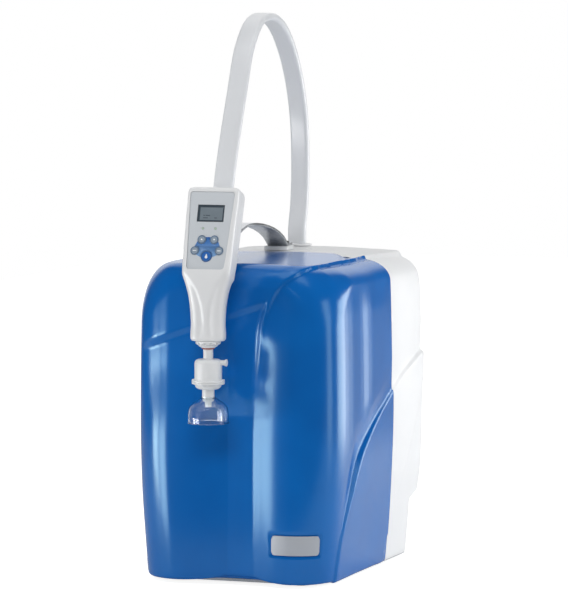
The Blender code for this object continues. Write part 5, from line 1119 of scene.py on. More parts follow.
@dataclass
class Studio:
    """The floor, the light and the camera at the photograph's angle."""

    eye: tuple[float, float, float] = (2.0521, -5.6052, 0.883)
    tilt_deg: float = 85.25
    turn_deg: float = 19.95
    lens: float = 252.1
    floor_z: float = -0.0002
    fill: float = 0.39
    front_fill: float = 0.05
    floor_glow: float = 0.88
    floor_reach: tuple[float, float, float] = (2.5, 0.62, 6.0)
    away: tuple[float, float, float] = (-0.342, 0.940, 0.0)

    def build(self) -> None:
        """Make everything round the object."""
        self.build_camera()
        self.build_floor()
        self.build_world()
        self.build_lamps()
        bpy.context.scene.view_settings.view_transform = "Standard"

    def build_camera(self) -> None:
        """Make the camera."""
        data = bpy.data.cameras.new("camera")
        data.lens = self.lens
        data.clip_end = 50.0
        camera = add_object("camera", data)
        camera.location = self.eye
        camera.rotation_euler = (math.radians(self.tilt_deg), 0.0, math.radians(self.turn_deg))
        bpy.context.scene.camera = camera

    def build_floor(self) -> None:
        """Make the pale floor, which stays white to the camera and keeps the shadow."""
        side, front, back = self.floor_reach
        corners = [(-side, -front), (side, -front), (side, back), (-side, back)]
        shape = shape_of([(*corner, self.floor_z) for corner in corners], [(0, 1, 2, 3)])
        floor = add_object("studio_floor", shape.mesh("studio_floor"))
        material = bpy.data.materials.new("matt_white_sweep")
        material.use_nodes = True
        tree = material.node_tree
        shader = tree.nodes["Principled BSDF"]
        shader.inputs["Base Color"].default_value = linear("#F4F5F6")
        shader.inputs["Roughness"].default_value = 0.9
        paths = add_node(tree, "ShaderNodeLightPath")
        seen = add_node(tree, "ShaderNodeMath", {"operation": "MAXIMUM"}, {
            0: paths.outputs["Is Camera Ray"], 1: paths.outputs["Is Transmission Ray"]})
        share = add_node(tree, "ShaderNodeMath", {"operation": "MULTIPLY"}, {
            0: seen.outputs[0], 1: self.floor_glow})
        glow = add_node(tree, "ShaderNodeEmission", {}, {"Color": (1.0, 1.0, 1.0, 1.0),
                                                         "Strength": share.outputs[0]})
        both = add_node(tree, "ShaderNodeAddShader", {}, {0: shader.outputs[0], 1: glow.outputs[0]})
        output = tree.nodes["Material Output"]
        tree.links.new(both.outputs[0], output.inputs["Surface"])
        floor.data.materials.append(material)

    def build_world(self) -> None:
        """Make the world: white behind the object, dim in front, and a level grey fill."""
        world = bpy.data.worlds.new("studio_world")
        bpy.context.scene.world = world
        world.use_nodes = True
        tree = world.node_tree
        paths = add_node(tree, "ShaderNodeLightPath")
        seen = add_node(tree, "ShaderNodeMath", {"operation": "MAXIMUM"}, {
            0: paths.outputs["Is Camera Ray"], 1: paths.outputs["Is Transmission Ray"]})
        way = add_node(tree, "ShaderNodeTexCoord").outputs["Generated"]
        level = add_node(tree, "ShaderNodeVectorMath", {"operation": "MULTIPLY"}, {
            0: way, 1: (1.0, 1.0, 0.0)})
        heading = add_node(tree, "ShaderNodeVectorMath", {"operation": "NORMALIZE"}, {
            0: level.outputs["Vector"]})
        away = add_node(tree, "ShaderNodeVectorMath", {"operation": "DOT_PRODUCT"}, {
            0: heading.outputs["Vector"], 1: self.away})
        behind = add_node(tree, "ShaderNodeMapRange", {"interpolation_type": "SMOOTHSTEP"}, {
            "Value": away.outputs["Value"], "From Min": 0.86, "From Max": 0.97,
            "To Min": self.front_fill, "To Max": 1.0})
        glossy = add_node(tree, "ShaderNodeMath", {"operation": "MULTIPLY"}, {
            0: paths.outputs["Is Glossy Ray"], 1: behind.outputs["Result"]})
        shown = add_node(tree, "ShaderNodeMath", {"operation": "MAXIMUM"}, {
            0: seen.outputs[0], 1: glossy.outputs[0]})
        dull = add_node(tree, "ShaderNodeMath", {"operation": "MULTIPLY"}, {
            0: paths.outputs["Is Diffuse Ray"], 1: self.fill})
        strength = add_node(tree, "ShaderNodeMath", {"operation": "MAXIMUM"}, {
            0: shown.outputs[0], 1: dull.outputs[0]})
        tree.links.new(strength.outputs[0], tree.nodes["Background"].inputs["Strength"])
        tree.nodes["Background"].inputs["Color"].default_value = (1.0, 1.0, 1.0, 1.0)

    def build_lamps(self) -> None:
        """Make the softboxes, which also draw the bands of light on the cover.

        The strip only shows in reflections, and the front one only lights.
        """
        self.softbox("key_softbox", (-1.30, -0.80, -0.03), (0.0, 0.0, -0.03), (0.40, 0.46), 6.6)
        strip = self.softbox("strip_softbox", (-1.09, -1.31, -0.03), (0.0, 0.0, -0.03),
                             (0.50, 0.46), 5.6)
        strip.visible_diffuse = False
        self.softbox("right_softbox", (1.22, 1.02, 0.32), (0.10, 0.0, 0.32), (0.97, 0.85), 12.0)
        self.softbox("side_softbox", (1.70, -0.10, 0.60), (0.0, 0.0, 0.60), (0.4, 1.2), 3.2)
        self.softbox("top_softbox", (0.2, -0.3, 2.4), (0.0, 0.0, 0.2), (1.8, 1.3), 9.0)
        front = self.softbox("front_softbox", (0.25, -1.9, 1.45), (0.0, 0.0, 0.30),
                             (1.0, 0.35), 11.0)
        front.visible_glossy = False

    @staticmethod
    def softbox(name: str, place: tuple[float, float, float], target: tuple[float, float, float],
                size: tuple[float, float], power: float) -> bpy.types.Object:
        """Make one rectangular lamp that faces a target.

        Args:
            name: The lamp's name.
            place: Where it stands.
            target: What it faces.
            size: Its width and height.
            power: Its power in watts.

        Returns:
            The lamp.
        """
        data = bpy.data.lights.new(name, "AREA")
        data.shape = "RECTANGLE"
        data.size, data.size_y = size
        data.energy = power
        lamp = add_object(name, data)
        lamp.location = place
        aim = Vector(target) - Vector(place)
        lamp.rotation_euler = aim.to_track_quat("-Z", "Y").to_euler()
        return lamp


def eased_rows(rows: Sequence[Sequence[float]], count: int) -> list[list[float]]:
    """Fill in rows between given ones on smooth curves that never overshoot.

    Args:
        rows: Rows of numbers whose first is the position along.
        count: How many rows to return.

    Returns:
        The denser rows.
    """
    table = np.array(rows, float)
    x = table[:, 0]
    slope = np.diff(table, axis=0) / np.diff(x)[:, None]
    tangent = np.zeros_like(table)
    product, total = slope[:-1] * slope[1:], slope[:-1] + slope[1:]
    tangent[1:-1] = np.where(product > 0.0, 2.0 * product / np.where(total == 0.0, 1.0, total), 0.0)
    tangent[0], tangent[-1] = slope[0], slope[-1]
    result = []
    for place in np.linspace(x[0], x[-1], count):
        index = min(int(np.searchsorted(x, place, side="right")) - 1, len(x) - 2)
        run = x[index + 1] - x[index]
        result.append(list(hermite(*table[index:index + 2], *tangent[index:index + 2], run,
                                   (place - x[index]) / run)))
    return result


def soften_node(node: str, name: str, body: str, finish: str, bevel: float,
                bend: Callable[[Vector], Vector] | None = None) -> None:
    """Make a piece from a CAD node with its edges softened, and let it stand for the node.

    Args:
        node: The CAD node.
        name: The new piece's name.
        body: The body that it rides on.
        finish: Its finish's name.
        bevel: The rounding of its edges.
        bend: Where each point moves to.
    """
    mesh = bmesh.new()
    mesh.from_mesh(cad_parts[node].data)
    if bend:
        for vertex in mesh.verts:
            vertex.co = bend(vertex.co)
    bmesh.ops.remove_doubles(mesh, verts=mesh.verts[:], dist=1e-6)
    bmesh.ops.dissolve_limit(mesh, angle_limit=math.radians(1.0), verts=mesh.verts[:],
                             edges=mesh.edges[:])
    data = bpy.data.meshes.new(name)
    mesh.to_mesh(data)
    mesh.free()
    data.materials.append(material(finish))
    piece = add_object(name, data)
    modifier = piece.modifiers.new("soft_edges", "BEVEL")
    modifier.width = bevel
    modifier.segments = 2
    modifier.limit_method = "ANGLE"
    modifier.angle_limit = math.radians(30.0)
    result = finished_mesh(piece)
    piece.modifiers.clear()
    piece.data = result
    shade(piece)
    settle(piece, body, (node,))


def span(node: str) -> tuple[float, float]:
    """Return the heights of a CAD node's bottom and top."""
    low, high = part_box(node)
    return low.z, high.z


def middle_of(node: str) -> Vector:
    """Return the middle of a CAD node in plan."""
    low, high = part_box(node)
    return Vector(((low.x + high.x) / 2.0, (low.y + high.y) / 2.0, 0.0))


@dataclass
class Handset:
    """The hand-held dispenser: two shells, keypad, display, keys and outlet."""

    place: Vector = field(default_factory=lambda: middle_of("outlet_nozzle"))
    turn_deg: float = 3.5
    bottom: float = 0.348
    wall: float = 0.0022
    handle_length: float = 0.087
    handle_width: float = 0.050
    handle_depth: float = 0.033
    handle_corner: float = 0.014
    head_length: float = 0.1255
    head_width: float = 0.0735
    head_depth: float = 0.037
    head_corner: float = 0.006
    tilt_deg: float = 20.0
    foil_top: float = 0.0078
    foil_length: float = 0.111
    foil_top_width: float = 0.064
    foil_bottom_width: float = 0.0535
    foil_sunk: float = 0.0005
    foil_thickness: float = 0.0022
    key_radius: float = 0.006
    key_drops: tuple[float, float] = (0.0764, 0.0924)
    key_offsets: tuple[float, float] = (0.0090, 0.0176)
    dispense_radius: float = 0.0078
    dispense_drop: float = 0.1004
    key_proud: float = 0.0009
    screen_width: float = 0.038
    screen_height: float = 0.024
    screen_drop: float = 0.0386
    light_drop: float = 0.0604
    light_offset: float = 0.0090
    groove_line: Table = (
        (0.0, 0.37), (0.27, 0.23), (0.55, 0.33), (0.8, 0.54), (1.0, 0.84))
    groove_depth: float = 0.0013
    nut_notches: int = 12

    def build(self) -> None:
        """Make all its pieces."""
        self.build_shells()
        self.build_face()
        self.build_outlet()

    def frame_matrix(self) -> Matrix:
        """Return the handset's place and turn."""
        return Matrix.Translation(self.place) @ Matrix.Rotation(math.radians(self.turn_deg), 4, "Z")

    def head_matrix(self) -> Matrix:
        """Return the head's frame: -Y out of its face, Z up it, origin at the face's top."""
        tilt = math.radians(self.tilt_deg)
        face = -self.head_depth / 2.0
        y = self.head_length * math.sin(tilt) + face * math.cos(tilt)
        z = self.bottom + self.handle_length + self.head_length * math.cos(tilt) - face * math.sin(tilt)
        return (self.frame_matrix() @ Matrix.Translation((0.0, y, z))
                @ Matrix.Rotation(-tilt, 4, "X"))

    def stations(self) -> list[list[float]]:
        """Return the smooth run of sections up the handle and the head.

        Each is position along, y, z, tilt, half width, half depth and corner radius.
        """
        tilt = math.radians(self.tilt_deg)
        rows = []
        shares = ((0.0, 0.92, 0.86), (0.025, 0.975, 0.93), (0.07, 0.99, 0.95), (0.25, 0.96, 0.93),
                  (0.50, 1.0, 0.96), (0.72, 1.10, 1.02), (0.88, 1.24, 1.08))
        for length, width, depth in shares:
            rows.append([self.handle_length * length, 0.0, self.bottom + self.handle_length * length,
                         tilt * length * length * 0.6, self.handle_width / 2.0 * width,
                         self.handle_depth / 2.0 * depth, self.handle_corner])
        base = self.bottom + self.handle_length
        shares = ((0.02, 0.945, 1.0, 1.6), (0.20, 0.955, 1.0, 1.1), (0.45, 0.97, 1.0, 0.9),
                  (0.93, 1.0, 1.0, 0.9), (0.965, 0.99, 0.985, 1.0), (0.985, 0.965, 0.93, 1.0),
                  (0.996, 0.93, 0.83, 1.0), (1.0, 0.89, 0.76, 1.0))
        for length, width, depth, corner in shares:
            along = self.head_length * length
            rows.append([self.handle_length + along, along * math.sin(tilt),
                         base + along * math.cos(tilt), tilt, self.head_width / 2.0 * width,
                         self.head_depth / 2.0 * depth, self.head_corner * corner])
        return eased_rows(rows, 110)

    def half_rows(self, direction: float, inset: float) -> list[list[Vector]]:
        """Return one half's rows of points.

        Args:
            direction: -1 for the front half and 1 for the rear.
            inset: How far inside the outer surface the points lie.

        Returns:
            Rows from the handle's foot to the head's top.
        """
        seam = direction * CLEARANCE / 2.0
        side, arc, across = 5, 9, 14
        rows = []
        for along, y, z, tilt, half, depth, radius in self.stations():
            half, depth = half - inset, depth - inset
            radius = min(max(radius - inset, 0.001), depth * 0.98)
            corner_x = half - radius
            corner_y = direction * (depth - radius)
            right = [(half, seam + (corner_y - seam) * step / side) for step in range(side)]
            for step in range(arc + 1):
                angle = QUARTER * step / arc
                right.append((corner_x + radius * math.cos(angle),
                              corner_y + direction * radius * math.sin(angle)))
            middle = [(corner_x * (1.0 - 2.0 * step / across), direction * depth)
                      for step in range(1, across)]
            outline = right + middle + [(-x, b) for x, b in reversed(right)]
            row = []
            for across_x, back in outline:
                if direction < 0.0:
                    back += self.groove(across_x, along, half)
                row.append(Vector((across_x, y + back * math.cos(tilt), z - back * math.sin(tilt))))
            rows.append(row)
        return rows

    def groove(self, x: float, along: float, half: float) -> float:
        """Return the hollow that runs down both sides of the handle's front.

        Args:
            x: The place across.
            along: The place along the handset.
            half: The half width there.

        Returns:
            The hollow's depth.
        """
        share = along / self.handle_length
        if share > 1.05:
            return 0.0
        line = half * float(np.interp(share, *np.transpose(self.groove_line)))
        width = 0.0052 if abs(x) > line else 0.0034
        fade = float(smooth(share / 0.12)) * (1.0 - float(smooth((share - 0.86) / 0.19)))
        return self.groove_depth * math.exp(-((abs(x) - line) / width) ** 2) * fade

    def shell(self, direction: float) -> Shape:
        """Return one closed shell of the handset, in the handset's frame.

        Args:
            direction: -1 for the front shell and 1 for the rear.

        Returns:
            The shell.
        """
        outer = self.half_rows(direction, 0.0)
        inner = self.half_rows(direction, self.wall)[:-3]
        columns = len(outer[0])
        start = len(outer) * columns
        end = start + len(inner) * columns
        faces = skin(len(outer), columns) + skin(len(inner), columns, start, True)
        for column in range(columns - 1):
            faces.append((column + 1, column, start + column, start + column + 1))
        for side in (0, columns - 1):
            for at in range(side, (len(inner) - 1) * columns, columns):
                faces.append((at, at + columns, start + at + columns, start + at))
            at = (len(inner) - 1) * columns + side
            faces.append((*range(at, start, columns), start + at))
        faces += [tuple(range(start - columns, start)), tuple(range(end - columns, end))]
        return shape_of([point for row in outer + inner for point in row], faces)

    def foil_outline(self, grow: float) -> Outline:
        """Return the keypad's tapering outline, counter-clockwise in X and Z.

        Args:
            grow: How much wider it is on every side.

        Returns:
            The outline.
        """
        top = -self.foil_top + grow
        bottom = -self.foil_top - self.foil_length - grow
        upper = self.foil_top_width / 2.0 + grow
        lower = self.foil_bottom_width / 2.0 + grow
        return rounded([(lower, bottom), (upper, top), (-upper, top), (-lower, bottom)],
                       0.005 + grow, 8)

    def to_face(self, shape: Shape) -> Shape:
        """Stand a shape made along Z on the head's face, with its Z out of the face."""
        return shape.moved(self.head_matrix() @ Matrix.Rotation(QUARTER, 4, "X"))

    def add_face_piece(self, name: str, shape: Shape, finish: str,
                       body: str = Body.HANDSET, replaced: Sequence[str] = ()) -> bpy.types.Object:
        """Make a piece as make_piece does, from a shape made along Z that lies on the head's face."""
        return make_piece(name, self.to_face(shape), body, finish, replaced)

    def keys(self) -> tuple[tuple[str, float, float, float], ...]:
        """Return each key's node, place across and down the face, and radius."""
        upper, lower = self.key_drops
        near, far = self.key_offsets
        return (("key_upper_left", -near, upper, self.key_radius),
                ("key_upper_right", near, upper, self.key_radius),
                ("key_lower_left", -far, lower, self.key_radius),
                ("key_lower_right", far, lower, self.key_radius),
                ("dispense_key", 0.0, self.dispense_drop, self.dispense_radius))

    def build_shells(self) -> None:
        """Make the front and rear shells and open the front one for the keypad."""
        for direction, name in ((-1.0, "handset_front"), (1.0, "handset_rear")):
            piece = make_piece(name, self.shell(direction).moved(self.frame_matrix()), "",
                               "smooth_white_abs")
            if direction < 0.0:
                window = slab(self.foil_outline(CLEARANCE), -self.wall - 0.004, 0.004, 0.0001)
                subtract(piece, self.to_face(window))
                shade(piece)
            settle(piece, Body.HANDSET, (name + "_shell",))

    def build_face(self) -> None:
        """Make the keypad foil with its blue field, the keys, the display and the lights."""
        front = -self.foil_sunk
        back = front - self.foil_thickness
        foil = slab(self.foil_outline(0.0), back, front, 0.0003)
        piece = self.add_face_piece("keypad_foil", foil, "printed_polyester_foil",
                                    replaced=("keypad_panel",))
        openings = [(ring_points(radius + CLEARANCE, 48), x, drop)
                    for _, x, drop, radius in self.keys()]
        openings += [(ring_points(0.0018, 24), side * self.light_offset, self.light_drop)
                     for side in (-1.0, 1.0)]
        openings.append((round_box(self.screen_width + 2 * CLEARANCE,
                                   self.screen_height + 2 * CLEARANCE, 0.0006, 3),
                         0.0, self.screen_drop))
        holes = Shape()
        for outline, x, drop in openings:
            holes.place(slab(outline, back - 0.002, front + 0.004, 0.0001),
                        Matrix.Translation((x, -drop, 0.0)))
        cutters = self.to_face(holes)
        subtract(piece, cutters)
        shade(piece)
        right = [(0.0150, -0.0985), (0.0205, -0.0905), (0.0128, -0.0745), (0.0050, -0.0728)]
        outline = [(0.0, -0.1050), *right, *((-x, z) for x, z in reversed(right))]
        band = slab(rounded(outline, 0.003, 4), front + 0.00002, front + 0.00018, 0.00005)
        piece = self.add_face_piece("keypad_blue_field", band, "blue_print")
        subtract(piece, cutters)
        piece.data.shade_smooth()
        for key in self.keys():
            self.build_key(*key)
        self.build_display(front, back)
        self.build_lights(front)

    def build_key(self, node: str, x: float, drop: float, radius: float) -> None:
        """Make one key with a dished top, a dark ring of painted shade at its edge, and its generic
        white mark.

        Args:
            node: The key's node.
            x: Its place across the face.
            drop: Its place down the face.
            radius: Its radius.
        """
        slot, finish = "grey_key", "grey_silicone"
        outline = round_box(0.0052, 0.0013, 0.0006, 4)
        if node == "dispense_key":
            slot, finish = "blue_key", "blue_silicone"
            outline = drop_outline(0.0020, 0.0066)
        elif "upper" in node:
            sign = 1.0 if "left" in node else -1.0
            outline = [(-0.0018, -0.0011 * sign), (0.0018, -0.0011 * sign), (0.0, 0.0019 * sign)]
            outline = rounded(outline if sign > 0.0 else outline[::-1], 0.0005, 3)
        top = self.key_proud - self.foil_sunk
        low = -self.foil_sunk - self.foil_thickness
        middle = Matrix.Translation((x, -drop, 0.0))
        key = turned([(0.0, low), (radius, low), (radius, top - 0.0005),
                      (radius - 0.0002, top - 0.0001), (radius - 0.0007, top),
                      (radius - 0.0014, top - 0.0001), (radius - 0.0020, top - 0.0003),
                      (0.0, top - 0.0003)], 64)
        # The rim ring is painted shade: a darker ring where the key's edge meets the foil.
        rim = turned([(radius - 0.0013, top - 0.0001), (radius - 0.0003, top - 0.0003),
                      (radius - 0.0003, top - 0.0001), (radius - 0.0007, top + 0.0001),
                      (radius - 0.0012, top + 0.0001)], 64)
        mark = slab(outline, top - 0.0003, top - 0.00015, 0.00004)
        self.add_face_piece(node.replace("key", "button"), key.moved(middle), finish, node,
                            (node,))
        self.add_face_piece(node + "_rim", rim.moved(middle), "painted_key_shade_ring", node)
        self.add_face_piece(node + "_mark", mark.moved(middle), "white_print", node)

    def build_display(self, front: float, back: float) -> None:
        """Make the display: its dark mask, the paler glass and generic readout bars.

        Args:
            front: The foil's front.
            back: The foil's back.
        """
        lift = Matrix.Translation((0.0, -self.screen_drop, 0.0))
        mask = slab(round_box(self.screen_width, self.screen_height, 0.0006, 3), back, front - 0.0003,
                    0.0001).moved(lift)
        self.add_face_piece("display_mask", mask, "display_mask",
                            replaced=("display_module", "display_window"))
        glass = slab(round_box(self.screen_width - 0.0055, self.screen_height - 0.0058, 0.0003, 2),
                     front - 0.0004, front - 0.00022, 0.00005)
        glass = glass.moved(Matrix.Translation((0.0008, -self.screen_drop - 0.0007, 0.0)))
        self.add_face_piece("display_glass", glass, "display_glass")
        bars = Shape()
        for x, z, width in ((-0.0095, -0.0030, 0.0025), (-0.0040, -0.0030, 0.0065),
                            (-0.0072, -0.0066, 0.0070), (0.0075, -0.0066, 0.0040)):
            bar = slab(round_box(width, 0.0010, 0.0003, 2), front - 0.00022, front - 0.00014, 0.00003)
            bars.place(bar, Matrix.Translation((x, -self.screen_drop + z, 0.0)))
        self.add_face_piece("display_bars", bars, "display_mask")

    def build_lights(self, front: float) -> None:
        """Make the two status lights and the bar that joins them behind the foil.

        Args:
            front: The foil's front.
        """
        light = turned([(0.0, front - 0.0028), (0.0014, front - 0.0028), (0.0014, front - 0.0001),
                        (0.0010, front + 0.0001), (0.0, front + 0.0002)], 24)
        shape = Shape()
        for side in (-1.0, 1.0):
            shape.place(light, Matrix.Translation((side * self.light_offset, -self.light_drop, 0.0)))
        bar = slab(round_box(2.0 * (self.light_offset + 0.0015), 0.0030, 0.0006, 3),
                   front - 0.0033, front - 0.0026, 0.0001)
        shape.place(bar, Matrix.Translation((0.0, -self.light_drop, 0.0)))
        self.add_face_piece("status_lights", shape, "light_pipe",
                            replaced=("status_light_guide",))

    def build_outlet(self) -> None:
        """Make the slotted nut, the outlet stub with its cone, and the red seal."""
        matrix = self.frame_matrix()
        low, top = span("union_nut")
        profile = rounded([(0.0056, low), (0.0150, low), (0.0175, low + 0.0018), (0.0175, top),
                           (0.0056, top)], 0.0006, 3)
        piece = make_piece("slotted_nut", turned(profile, 96).moved(matrix), "",
                           "natural_polypropylene")
        notch = slab(round_box(0.0040, 0.0034, 0.0006, 3), low - 0.001, low + 0.0036, 0.0001)
        notch = notch.moved(Matrix.Translation((0.0164, 0.0, 0.0)))
        notches = repeated("nut_notches", notch, self.nut_notches, Vector(), Vector(),
                           2.0 * math.pi / self.nut_notches)
        subtract(piece, notches.moved(matrix))
        shade(piece)
        settle(piece, Body.NUT, ("union_nut",))
        cone_low, stub_top = span("outlet_cone")
        cone_top = low - CLEARANCE
        neck = self.bottom + (top - low) + CLEARANCE
        profile = rounded([(0.0018, stub_top), (0.0083, stub_top), (0.0083, neck), (0.0052, neck),
                           (0.0052, cone_top), (0.0140, cone_top), (0.0134, cone_top - 0.0012),
                           (0.0092, cone_low), (0.0018, cone_low)], 0.0004, 2)
        self.add_turned("outlet_stub", profile, Body.HANDSET, "white_fitting",
                        "natural_polypropylene", "outlet_cone")
        seal_low, seal_top = span("seal_ring")
        profile = rounded([(0.0056, seal_low), (0.0088, seal_low), (0.0088, seal_top),
                           (0.0056, seal_top)], 0.0005, 4)
        self.add_turned("red_seal", profile, Body.HANDSET, "red_seal", "red_silicone", "seal_ring")

    def add_turned(self, name: str, profile: Outline, body: str, slot: str, finish: str,
                   node: str) -> None:
        """Make a piece that stands for a node, from a profile turned about the centre line."""
        shape = turned(profile, 96).moved(self.frame_matrix())
        make_piece(name, shape, body, finish, (node,))


def drop_outline(radius: float, height: float) -> Outline:
    """Return a water drop's outline, counter-clockwise, centred on its height.

    Args:
        radius: The round foot's radius.
        height: The whole drop's height.

    Returns:
        The outline.
    """
    points = []
    low = -height / 2.0 + radius
    for step in range(25):
        angle = math.radians(-210.0 + 240.0 * step / 24)
        points.append((radius * math.cos(angle), low + radius * math.sin(angle)))
    return points + [(0.0003, height / 2.0), (-0.0003, height / 2.0)]


@dataclass
class FinalFilter:
    """The capsule filter with its vent, the clear filling bell and the nozzle."""

    handset: Handset
    radius: float = 0.0190
    dome: float = 0.006
    flange_radius: float = 0.0220
    neck_radius: float = 0.0068
    outlet_radius: float = 0.0085
    wall: float = 0.0018
    bore: float = 0.0018
    vent_drop: float = 0.0047
    bell_radius: float = 0.0285
    bell_wall: float = 0.0016
    bell_curve: Table = (
        (0.0099, 0.0012), (0.0152, 0.0044), (0.0224, 0.0093), (0.0270, 0.0155), (0.0285, 0.0235))

    def add(self, name: str, profile: Outline, slot: str, finish: str, node: str) -> None:
        """Make a turned piece that rides on the filter."""
        self.handset.add_turned(name, profile, Body.FILTER, slot, finish, node)

    def build(self) -> None:
        """Make all its pieces."""
        self.build_upper()
        self.build_lower()
        self.build_bell()

    def build_upper(self) -> None:
        """Make the capsule's upper shell with the flared vent on its right."""
        low, neck_top = span("filter_upper_shell")
        flange_top = low + 0.00275
        shelf = flange_top + 0.0290 - self.dome
        body_top = shelf + self.dome
        outer = [(self.bore, neck_top), (self.neck_radius, neck_top)]
        outer += [(self.neck_radius, body_top + 0.0008), (self.neck_radius + 0.0008, body_top)]
        for step in range(9):
            angle = QUARTER * step / 8
            outer.append((self.radius - self.dome + self.dome * math.sin(angle),
                          shelf + self.dome * math.cos(angle)))
        outer += [(self.radius, flange_top), (self.flange_radius - 0.0008, flange_top),
                  (self.flange_radius, flange_top - 0.0008), (self.flange_radius, low)]
        inside = self.radius - self.wall
        outer += [(inside, low), (inside, shelf - self.wall), (self.bore, body_top - self.wall)]
        capsule = turned(outer, 96)
        profile = [(0.0, inside), (0.0036, inside), (0.0036, self.radius + 0.0040),
                   (0.0040, self.radius + 0.0046), (0.0048, self.radius + 0.0062),
                   (0.0050, self.radius + 0.0076), (0.0047, self.radius + 0.0080),
                   (0.0, self.radius + 0.0080)]
        capsule.place(turned(profile, 48), Matrix.Translation((0.0, 0.0, body_top - self.vent_drop))
                      @ Matrix.Rotation(QUARTER, 4, "Y"))
        capsule.place(self.lugs(flange_top - 0.0003, 0.0056), Matrix())
        make_piece("capsule_top", capsule.moved(self.handset.frame_matrix()), Body.FILTER,
                   "natural_polypropylene", ("filter_upper_shell",))

    def lugs(self, high: float, drop: float) -> Shape:
        """Return the two rounded lugs on the flange, at its left and right.

        Args:
            high: The lugs' top.
            drop: How far they reach down.

        Returns:
            The lugs.
        """
        profile = rounded([(self.radius, high - drop), (self.flange_radius + 0.0008, high - drop),
                           (self.flange_radius + 0.0008, high + 0.0012), (self.radius, high + 0.0012)],
                          0.0012, 3)
        shape = Shape()
        for middle in (0.0, 180.0):
            rings = []
            for step in range(13):
                angle = math.radians(middle + 2.5 * (step - 6))
                rings.append([Vector((radius * math.cos(angle), radius * math.sin(angle), z))
                              for radius, z in profile])
            shape.place(lofted(rings), Matrix())
        return shape

    def build_lower(self) -> None:
        """Make the capsule's lower cup with its outlet, and the membrane."""
        outlet_low, split = span("filter_lower_shell")
        dome_top = split - 0.00275
        dome_bottom = dome_top - 0.007
        inside = self.radius - self.wall
        profile = [(self.bore, split - self.wall), (self.bore, outlet_low),
                   (self.outlet_radius - 0.0004, outlet_low),
                   (self.outlet_radius, outlet_low + 0.0004),
                   (self.outlet_radius, dome_bottom - 0.0006),
                   (self.outlet_radius + 0.0006, dome_bottom)]
        for step in range(9):
            angle = QUARTER * step / 8
            profile.append((0.0112 + 0.0070 * math.sin(angle),
                            dome_bottom + 0.0060 * (1.0 - math.cos(angle))))
        profile += [(0.0182, dome_top), (self.flange_radius - 0.0008, dome_top),
                    (self.flange_radius, dome_top + 0.0008), (self.flange_radius, split),
                    (inside, split), (inside, split - self.wall)]
        self.add("capsule_cup", profile, "white_fitting", "natural_polypropylene",
                 "filter_lower_shell")
        low, high = span("filter_membrane")
        edge = inside - 0.0004
        profile = rounded([(0.0, low), (edge, low), (edge, high), (0.0, high)], 0.0004, 2, False)
        self.add("filter_fleece", profile, "membrane", "filter_fleece", "filter_membrane")

    def build_bell(self) -> None:
        """Make the clear bell, thin-walled with a beaded rim, and the nozzle in it."""
        rim, top = span("filling_bell")
        bore = self.outlet_radius + CLEARANCE
        rows = eased_rows([(step, radius, top - depth) for step, (radius, depth)
                           in enumerate(self.bell_curve)], 29)
        curve = np.array(rows)[:, 1:]
        slope = np.gradient(curve, axis=0)
        turned_in = np.column_stack([slope[:, 1], -slope[:, 0]])
        inner = curve + self.bell_wall * turned_in / np.linalg.norm(turned_in, axis=1)[:, None]
        profile = [(self.bell_curve[0][0], top)] + [tuple(point) for point in curve]
        profile += [(self.bell_radius, rim + 0.0014), (self.bell_radius + 0.0005, rim + 0.0009),
                    (self.bell_radius + 0.0004, rim + 0.0002), (self.bell_radius - 0.0003, rim),
                    (self.bell_radius - self.bell_wall, rim + 0.0003)]
        profile += [(radius, height) for radius, height in inner[::-1] if radius > bore + 0.0004]
        profile += [(bore, top - self.bell_curve[0][1] - self.bell_wall), (bore, top)]
        self.add("clear_bell", profile, "clear_bell", "clear_polycarbonate", "filling_bell")
        low, high = span("outlet_nozzle")
        profile = [(self.bore, high), (0.0074, high), (0.0076, high - 0.0003), (0.0076, high - 0.0027),
                   (0.0072, high - 0.0030), (0.0052, high - 0.0032), (0.0048, high - 0.0037),
                   (0.0043, low + 0.0003), (0.0040, low), (self.bore, low)]
        self.add("filling_nozzle", profile, "white_fitting", "natural_polypropylene",
                 "outlet_nozzle")


@dataclass
class Holder:
    """The chromed arm with its foot and screws, and the hook that hangs on it."""

    arch_start: float = -0.150
    arch_end: float = 0.095
    arch_shift: float = 0.030
    arch_lift: float = 0.004

    def bend(self, point: Vector) -> Vector:
        """Return where a point of the arm moves to, as its arch leans to the front.

        Args:
            point: The point's place in the CAD.

        Returns:
            Its place in the scene.
        """
        share = (point.y - self.arch_start) / (self.arch_end - self.arch_start)
        lean = math.sin(math.pi * min(max(share, 0.0), 1.0)) ** 2
        return Vector((point.x, point.y - self.arch_shift * lean, point.z + self.arch_lift * lean))

    def build(self) -> None:
        """Make all its pieces."""
        soften_node("holder_arm", "arm_strip", Body.CABINET, "chromed_steel",
                    0.0008, self.bend)
        soften_node("holder_base", "arm_foot", Body.CABINET,
                    "natural_polypropylene", 0.0009)
        soften_node("handset_hook", "hanging_hook", Body.HANDSET,
                    "smooth_white_abs", 0.0006)
        self.build_screws()

    def build_screws(self) -> None:
        """Make the two dark socket screws that hold the arm down on its foot."""
        middle = middle_of("holder_base")
        low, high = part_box("holder_base")
        seat = high.z + 0.0038
        profile = [(0.0, seat - 0.0030), (0.0016, seat - 0.0030), (0.0016, seat), (0.0038, seat),
                   (0.0041, seat + 0.0004), (0.0041, seat + 0.0018), (0.0036, seat + 0.0024),
                   (0.0019, seat + 0.0024), (0.0019, seat + 0.0010), (0.0, seat + 0.0010)]
        screw = turned(profile, 32)
        shape = Shape()
        for side in (-1.0, 1.0):
            shape.place(screw, Matrix.Translation(
                (middle.x + side * 0.008, middle.y + (high.y - low.y) * 0.24, 0.0)))
        make_piece("arm_screws", shape, Body.CABINET, "black_nylon")


